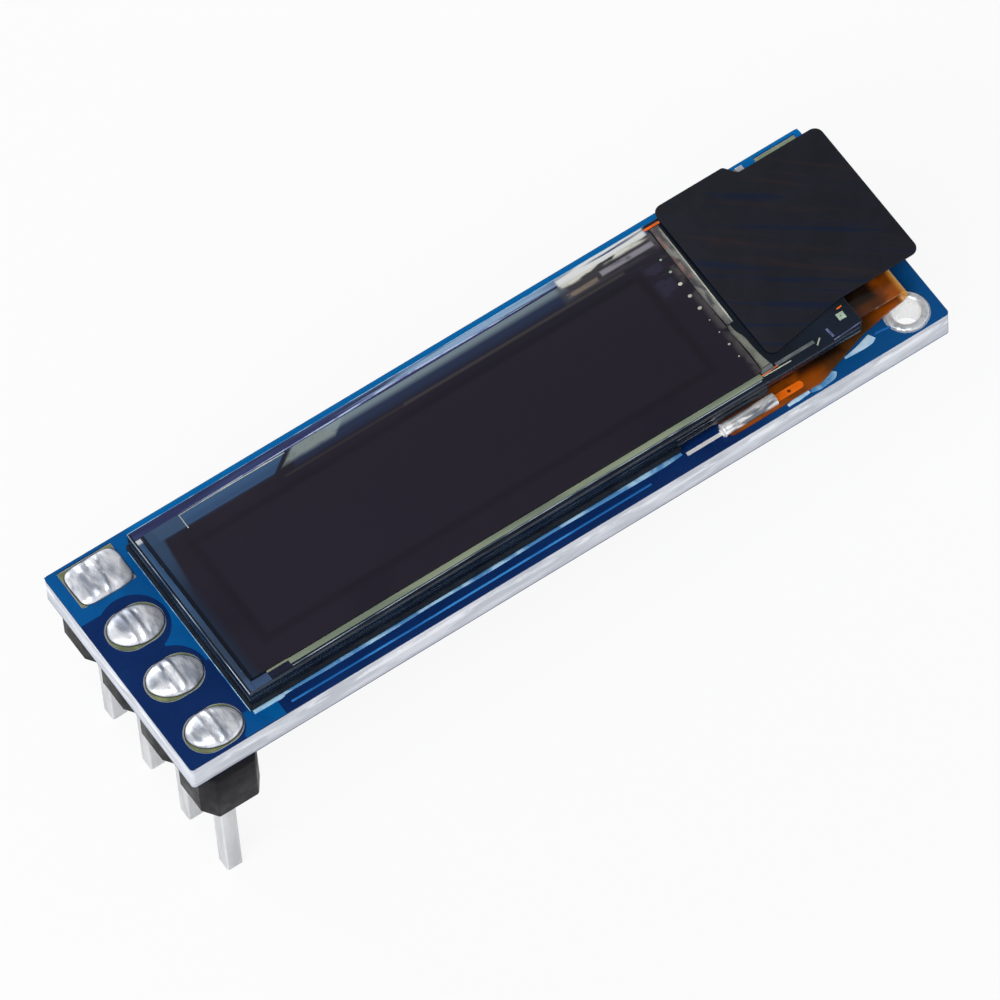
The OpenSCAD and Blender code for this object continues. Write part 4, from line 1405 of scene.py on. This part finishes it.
@dataclass
class DisplayStack(SubAssembly):
    """The glass stack with what is etched, glued and bonded on it."""

    title: str = "display"
    glass_rounding: float = 0.03
    film_rounding: float = 0.02
    thinner: float = 0.008
    trim_rise: float = 0.008
    mark_rise: float = 0.01
    dot_pitch: float = 0.62
    dot_start: Flat = (23.39, 2.37)
    dot_sizes: tuple[float, ...] = (0.08, 0.1, 0.13, 0.13, 0.13, 0.05, 0.05, 0.08, 0.06)
    pale_dot_size: float = 0.12
    strip_x: Flat = (0.67, 1.55)
    rim_inset: float = 0.02
    rim_w: float = 0.045
    resin_gap: float = 0.02
    resin_drop: float = 0.006
    resin_half_w: float = 3.78
    resin_end_w: float = 0.6
    resin_rounding: float = 0.08

    def build(self) -> None:
        """Works the glass, dresses the layers and adds the marks and glue lines."""
        self.keep(FOAM, "adhesive_pad")
        self._pane("cover_glass", "ground_cover_glass", GLASS, self.glass_rounding, 0.5)
        self._pane("front_glass", "ground_front_glass", GLASS, self.glass_rounding, 0.5)
        self._pane("polarizer", "smoky_film", POLARIZER, self.film_rounding, 0.0)
        self.keep(SEAL, "display_seal")
        self.keep(LIT, "light_layer")
        self.keep(WIRE, "electrodes")
        self.keep(SILICON, "driver_chip")
        self._dots()
        self._glue_lines()
        self._end_lines()
        self._margin_plates()
        self._margin_lines()
        self._edge_glints()
        self._resin()
        self._ledge_marks()

    def _pane(self, node: str, name: str, finish: Finish, rounding: float, still: float) -> None:
        """A pane with ground edges, a hair thinner than its solid so that its faces meet nothing else.

        Args:
            node: the solid that it replaces.
            name: the piece's name.
            finish: its finish.
            rounding: the radius of its ground edges.
            still: the share of the thickness, from below, at the height that stays as it is.
        """
        piece = Bench.copy_of(node, name)
        low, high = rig.box(node)
        share = 1.0 - self.thinner * MM / (high.z - low.z)
        with Bench.opened(piece):
            bpy.ops.transform.resize(value=(1.0, 1.0, share), center_override=low.lerp(high, still))
        Bench.apply(piece, "BEVEL", width=rounding * MM, segments=2, limit_method="ANGLE")
        Bench.settle(piece)
        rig.replaces(piece, node)
        self.fit(piece, finish)

    def _dots(self) -> None:
        """The row of pale contact dots at the film's right edge."""
        x, start = self.dot_start
        z = box_mm("polarizer")[1].z - self.thinner
        for index, size in enumerate(self.dot_sizes):
            spot = (x, start - index * self.dot_pitch, z)
            piece = Bench.dome(f"contact_dot_{index + 1}", spot, (size * 1.25, size, 2 * self.thinner))
            self.fit(Bench.settle(piece, Shading.TURNED), CREAM if size > self.pale_dot_size else MARK)

    def _glue_lines(self) -> None:
        """The glue that squeezed out along the left, near and far edges of the glass."""
        low, high = box_mm("cover_glass")
        near_y = low.y - 0.09
        near = ((1.51, 0.0), (2.65, -0.015), (2.95, 0.02), (4.76, 0.01), (7.4, 0.0), (9.4, 0.02),
                (11.6, -0.01), (14.3, 0.015), (16.8, -0.01), (18.2, 0.0), (19.1, -0.02), (19.81, 0.0))
        self.stroke(
            box_mm("solder_mask_top")[1].z,
            Stroke("left_glue_line", GLUE_AND_GLINT, 0.1, 0.05,
                   [(low.x - 0.02, y) for y in (high.y - 0.05, 2.2, 1.1, 0.0, -1.4, -2.8, low.y)]),
            Stroke("near_glue_line", GLUE_AND_GLINT, 0.19, 0.06, [(x, near_y + wander) for x, wander in near],
                   (1.2, 1.1, 0.7, 0.9, 0.8, 0.7, 0.8, 0.75, 0.9, 1.2, 1.0, 0.7)),
            Stroke("far_glue_line", GLUE_AND_GLINT, 0.07, 0.04,
                   [(1.7, high.y + 0.04), (9.0, high.y + 0.05), (19.8, high.y + 0.04)]),
        )

    def _end_lines(self) -> None:
        """The milky glue and its bright line at the film's right end."""
        self.stroke(
            box_mm("front_glass")[1].z,
            Stroke("milky_end_line", MILK, 0.38, 0.02,
                   [(24.0, 3.72), (23.98, 2.2), (23.95, 0.6), (23.95, -0.5), (23.96, -1.2)],
                   (0.9, 1.0, 0.95, 0.85, 0.7)),
            Stroke("lower_end_line", MILK, 0.26, 0.02,
                   [(23.86, -1.24), (23.84, -1.6), (23.92, -2.0), (23.95, -2.7), (23.98, -3.4)],
                   (0.4, 0.7, 1.0, 1.0, 1.5)),
            Stroke("bright_end_line", CREAM, 0.06, 0.03,
                   [(24.14, 3.6), (24.13, 2.4), (24.1, 0.6), (24.08, -0.6), (24.07, -1.18)],
                   (0.3, 1.0, 1.0, 1.2, 0.8)),
        )

    def _margin_plates(self) -> None:
        """The strips and coloured margins round the film, on the front glass."""
        low, high = box_mm("front_glass")
        film, far = box_mm("polarizer")
        start, wide, near = film.x + self.strip_x[0], film.x + self.strip_x[1], film.y
        self.plate(
            high.z,
            self.trim_rise,
            Plate("thin_strip", STRIP, (start, near - 0.07), (wide, near + 0.01)),
            Plate("olive_strip", STRIP, (wide, near - 0.24), (far.x - 0.1, near - 0.01)),
            Plate("violet_block", VIOLET, (start + 0.05, near - 0.3), (wide, near - 0.09)),
            Plate("left_margin", STEEL_GLASS, (low.x + 0.1, low.y + 0.03), (film.x - 0.01, far.y + 0.02)),
            Plate("corner_margin", STEEL_GLASS, (film.x - 0.03, low.y + 0.05), (start, near - 0.04)),
            Plate("far_margin", MARGIN, (low.x + 0.1, far.y + 0.03), (far.x, high.y - 0.03)),
        )

    def _margin_lines(self) -> None:
        """The fine lines along the near and far edges of the film."""
        film, far = box_mm("polarizer")
        start, line = film.x + self.strip_x[1] + 0.02, film.y - 0.29
        top = box_mm("front_glass")[1].z
        # Painted highlight: a thin white line along the glass below the strip.
        white = [(start, line - 0.05), (9.0, line), (16.0, line + 0.02), (far.x - 0.2, line)]
        self.stroke(top, Stroke("near_white_glint", EDGE_GLINT, 0.036, 0.012, white))
        cream = [(3.42, 2.87), (3.42, 3.2), (3.42, 3.51), (5.2, 3.52), (7.9, 3.5)]
        self.stroke(far.z - 1.5 * self.thinner, Stroke("far_cream_line", CREAM, 0.045, 0.01, cream))
        pale = [(2.6, 3.66), (5.2, 3.64), (7.9, 3.66), (10.3, 3.68), (12.5, 3.74), (14.7, 3.73), (17.3, 3.7),
                (19.7, 3.7)]
        taper = (0.6, 0.8, 1.0, 1.2, 1.4, 1.2, 0.9, 0.6)
        self.stroke(top, Stroke("far_pale_line", PALE_LINE, 0.07, 0.012, pale, taper))

    def _edge_glints(self) -> None:
        """Painted highlights: the pale lines along the ground edges of the glass."""
        low, high = box_mm("front_glass")
        cover_low, cover_high = box_mm("cover_glass")
        inset = self.rim_inset
        left, right = low.x + inset, box_mm("polarizer")[1].x
        near, far = low.y + inset, high.y - inset
        self.stroke(
            high.z - inset,
            Stroke("left_glass_glint", EDGE_GLINT, self.rim_w, 0.02, [(left, far), (left, near)]),
            Stroke("near_glass_glint", DIM_EDGE_GLINT, self.rim_w, 0.02, [(left, near), (right, near)]),
            # Painted highlight along the far glass edge, in the glue finish.
            Stroke("far_glass_glint", GLUE_AND_GLINT, self.rim_w, 0.02, [(left, far), (right, far)]),
        )
        # Painted highlight, dim, along the cover glass's left edge.
        side = cover_low.x + 0.01
        join = [(side, cover_high.y), (side, cover_low.y + 0.01)]
        self.stroke(cover_high.z, Stroke("left_join_glint", DIM_EDGE_GLINT, 0.04, 0.02, join))

    def _resin(self) -> None:
        """The black resin that covers the ledge's underside on both sides of the driver chip."""
        cover = box_mm("cover_glass")[1].x
        low, high = box_mm("driver_chip")
        top = max(box_mm("front_glass")[0].z, high.z) - self.resin_drop
        gap, half = self.resin_gap, self.resin_half_w
        for name, start, end in (
            ("left_ledge_resin", cover + gap, low.x - gap),
            ("right_ledge_resin", high.x + gap, high.x + gap + self.resin_end_w),
        ):
            piece = Bench.block(name, (start, -half, low.z), (end, half, top), self.resin_rounding, 3)
            self.fit(piece, RESIN)

    def _ledge_marks(self) -> None:
        """The etched bars, ticks and square on the bare ledge."""
        z, rise = box_mm("front_glass")[1].z, self.mark_rise
        self.plate(
            z,
            rise,
            Plate("ledge_bar", DULL_MARK, (24.3, -3.64), (25.96, -3.5)),
            Plate("ledge_corner_patch", DULL_MARK, (23.68, -3.66), (24.2, -3.42)),
            Plate("ledge_square", MARK, (27.22, -3.39), (27.52, -3.09)),
            Plate("end_orange_patch", COPPER, (23.62, 3.76), (24.3, 3.86)),
        )
        self.stroke(
            z,
            Stroke("ledge_line", CREAM, 0.045, rise, [(23.68, -3.73), (24.85, -3.75)]),
            Stroke("ledge_red_line", COPPER, 0.05, rise, [(23.62, -3.68), (24.35, -3.63)]),
            Stroke("ledge_tick", CREAM, 0.06, rise, [(25.98, -3.77), (26.22, -3.56)]),
            Stroke("ledge_lilac_bar", LILAC, 0.1, rise, [(26.63, -3.38), (26.67, -3.8)]),
            Stroke("ledge_orange_tick", COPPER, 0.06, rise, [(27.4, -2.92), (27.62, -2.9)]),
            Stroke("ledge_edge_line", LILAC, 0.05, rise, [(26.6, -3.93), (27.2, -3.9), (27.8, -3.86)]),
        )
        dot = Bench.dome("ledge_square_dot", (27.37, -3.24, z + 0.8 * rise), (0.05, 0.05, 0.02))
        self.fit(Bench.settle(dot, Shading.TURNED), EPOXY)


@dataclass
class FlexTail(SubAssembly):
    """The folded flex cable, its fingers, their lands and solder."""

    title: str = "flex cable"
    film_rounding: float = 0.015
    solder_rounding: float = 0.02
    land_w: float = 0.3
    bare_y: Flat = (-4.31, -4.15)
    bare_end_x: float = 21.45
    mask_rise: float = 0.006
    mask_lap: float = 0.06

    def build(self) -> None:
        """Works the film, dresses its metal and laps the nearest land with mask."""
        self.fit(Bench.worked("flex_cable", "folded_film", self.film_rounding, 1, Shading.TURNED), FLEX)
        self.keep(FINGER, "flex_fingers")
        self.keep(WET_TIN, "finger_lands")
        solder = Bench.worked("flex_solder", "finger_solder", self.solder_rounding, 2, Shading.MOLTEN)
        self.fit(solder, WET_TIN)
        low, high = box_mm("finger_lands")
        near, far = self.bare_y
        lap = self.mask_lap
        start, end = low.x - lap, self.bare_end_x
        self.plate(
            high.z,
            self.mask_rise,
            Plate("near_mask_lap", MASK, (start, low.y - lap), (end, near)),
            Plate("far_mask_lap", MASK, (start, far), (end, low.y + self.land_w + lap)),
        )


@dataclass
class TapeCover(SubAssembly):
    """The black tape over the ledge."""

    title: str = "tape"
    rounding: float = 0.03

    def build(self) -> None:
        """Works the tape's rim."""
        self.fit(Bench.worked("shield_tape", "matte_cover_tape", self.rounding, 2, Shading.TURNED), TAPE)


@dataclass
class BoardParts(SubAssembly):
    """The small parts on and under the board."""

    title: str = "board parts"
    rounding: float = 0.03

    def build(self) -> None:
        """Works each group of parts and dresses their ends."""
        for node, name, finish in (
            ("small_capacitor", "far_capacitor_body", CERAMIC),
            ("small_capacitor_ends", "far_capacitor_ends", TIN),
            ("capacitors", "back_capacitor_bodies", CERAMIC),
            ("capacitor_ends", "back_capacitor_ends", TIN),
            ("resistors", "back_resistor_bodies", RESISTOR),
            ("resistor_ends", "back_resistor_ends", TIN),
            ("regulator", "back_regulator_body", EPOXY),
            ("regulator_legs", "back_regulator_legs", TIN),
        ):
            self.fit(Bench.worked(node, name, self.rounding), finish)
        self.keep(TIN, "back_lands")


# ----- Studio -----


@dataclass
class Studio:
    """The floor, the lamps, the world and the camera."""

    eye: Point = (-91.174, -185.569, 361.682)
    right: Point = (0.82902, -0.55751, -0.04369)
    down: Point = (-0.49934, -0.70282, -0.50665)
    forward: Point = (0.25176, 0.44184, -0.86104)
    lens_mm: float = 419.75
    sensor_mm: float = 36.0
    clip_m: Flat = (0.01, 20.0)
    floor_half_m: float = 1.5
    floor_gap_m: float = 0.00002
    floor_glow: float = 0.9
    backdrop: Rgb = (253, 253, 253)
    floor_colour: Rgb = (246, 246, 246)
    room_colour: Rgb = (250, 251, 253)
    lamps: tuple[tuple[str, Point, float, float], ...] = (
        ("left_softbox", (-460.0, -180.0, 380.0), 380.0, 1.7),
        ("far_softbox", (-120.0, 520.0, 240.0), 300.0, 0.7),
        ("top_softbox", (-200.0, -260.0, 560.0), 360.0, 1.3),
    )

    def build(self) -> None:
        """Sets everything up."""
        self._camera()
        self._floor()
        for name, spot, size, power in self.lamps:
            self._lamp(name, spot, size, power)
        self._world()
        bpy.context.scene.view_settings.view_transform = "Standard"

    def _camera(self) -> None:
        """A long lens at the calibrated place."""
        data = bpy.data.cameras.new("studio_camera")
        data.lens, data.sensor_width, data.sensor_fit = self.lens_mm, self.sensor_mm, "HORIZONTAL"
        data.clip_start, data.clip_end = self.clip_m
        camera = bpy.data.objects.new("studio_camera", data)
        up, back = -Vector(self.down), -Vector(self.forward)
        turn = Matrix((Vector(self.right), up, back)).transposed()
        camera.matrix_world = Matrix.Translation(metres(self.eye)) @ turn.to_4x4()
        bpy.context.scene.collection.objects.link(camera)
        bpy.context.scene.camera = camera

    def _floor(self) -> None:
        """A plain pale floor just under the pins, which keeps the shadow."""
        low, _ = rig.bounds()
        Bench.hold()
        spot = (0.0, 0.0, low.z - self.floor_gap_m)
        bpy.ops.mesh.primitive_plane_add(size=2 * self.floor_half_m, location=spot)
        floor = Bench.name("studio_floor")
        made = bpy.data.materials.new("pale_floor")
        made.use_nodes = True
        desk = Desk(made.node_tree)
        matt = desk.add("ShaderNodeBsdfDiffuse", {"Color": linear(self.floor_colour)}).outputs[0]
        glow = desk.add("ShaderNodeEmission", {"Color": linear(self.backdrop)}).outputs[0]
        rays = desk.add("ShaderNodeLightPath").outputs
        seen = desk.calc("MAXIMUM", rays["Is Camera Ray"], rays["Is Glossy Ray"])
        seen = desk.calc("MAXIMUM", seen, rays["Is Transmission Ray"])
        share = desk.calc("MULTIPLY", seen, self.floor_glow)
        mix = desk.add("ShaderNodeMixShader", {0: share, 1: matt, 2: glow}).outputs[0]
        desk.add("ShaderNodeOutputMaterial", {"Surface": mix})
        floor.data.materials.append(made)
        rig.stage(floor)

    @staticmethod
    def _lamp(name: str, spot: Point, size: float, power: float) -> None:
        """A square softbox that faces the object.

        Args:
            name: the lamp's name.
            spot: where it stands.
            size: its side.
            power: its power in watts.
        """
        data = bpy.data.lights.new(name, "AREA")
        data.size, data.energy = size * MM, power
        lamp = bpy.data.objects.new(name, data)
        lamp.location = metres(spot)
        lamp.rotation_euler = (-metres(spot)).to_track_quat("-Z", "Y").to_euler()
        bpy.context.scene.collection.objects.link(lamp)

    def _world(self) -> None:
        """A white background, and a softer room overhead for what the pieces reflect."""
        world = bpy.data.worlds.new("studio_room")
        world.use_nodes = True
        desk = Desk(world.node_tree)
        way = desk.add("ShaderNodeTexCoord").outputs["Generated"]
        strength = desk.span(desk.parts(way)[2], 0.05, 0.8, 1.0, 0.32)
        room = desk.add("ShaderNodeBackground", {"Strength": strength, "Color": linear(self.room_colour)})
        white = desk.add("ShaderNodeBackground", {"Color": linear(self.backdrop)})
        rays = desk.add("ShaderNodeLightPath").outputs
        seen = desk.calc("MAXIMUM", rays["Is Camera Ray"], rays["Is Transmission Ray"])
        mix = desk.add("ShaderNodeMixShader", {0: seen, 1: room.outputs[0], 2: white.outputs[0]}).outputs[0]
        desk.add("ShaderNodeOutputWorld", {"Surface": mix})
        bpy.context.scene.world = world


def main() -> None:
    """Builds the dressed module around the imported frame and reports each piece."""
    logging.basicConfig(level=logging.INFO, format="%(message)s")
    for item in list(bpy.data.objects):
        bpy.data.objects.remove(item)
    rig.load()
    cad_low, cad_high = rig.bounds()
    palette = Palette(Effects())
    Studio().build()
    for assembly in (Board, PinHeader, CornerHole, DisplayStack, FlexTail, TapeCover, BoardParts):
        assembly(palette).build()
    low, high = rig.bounds()
    with open(SIZE_FILE, "w") as file:
        json.dump({"cad": [list(cad_low), list(cad_high)], "visual": [list(low), list(high)]}, file)


if __name__ == "__main__":
    main()
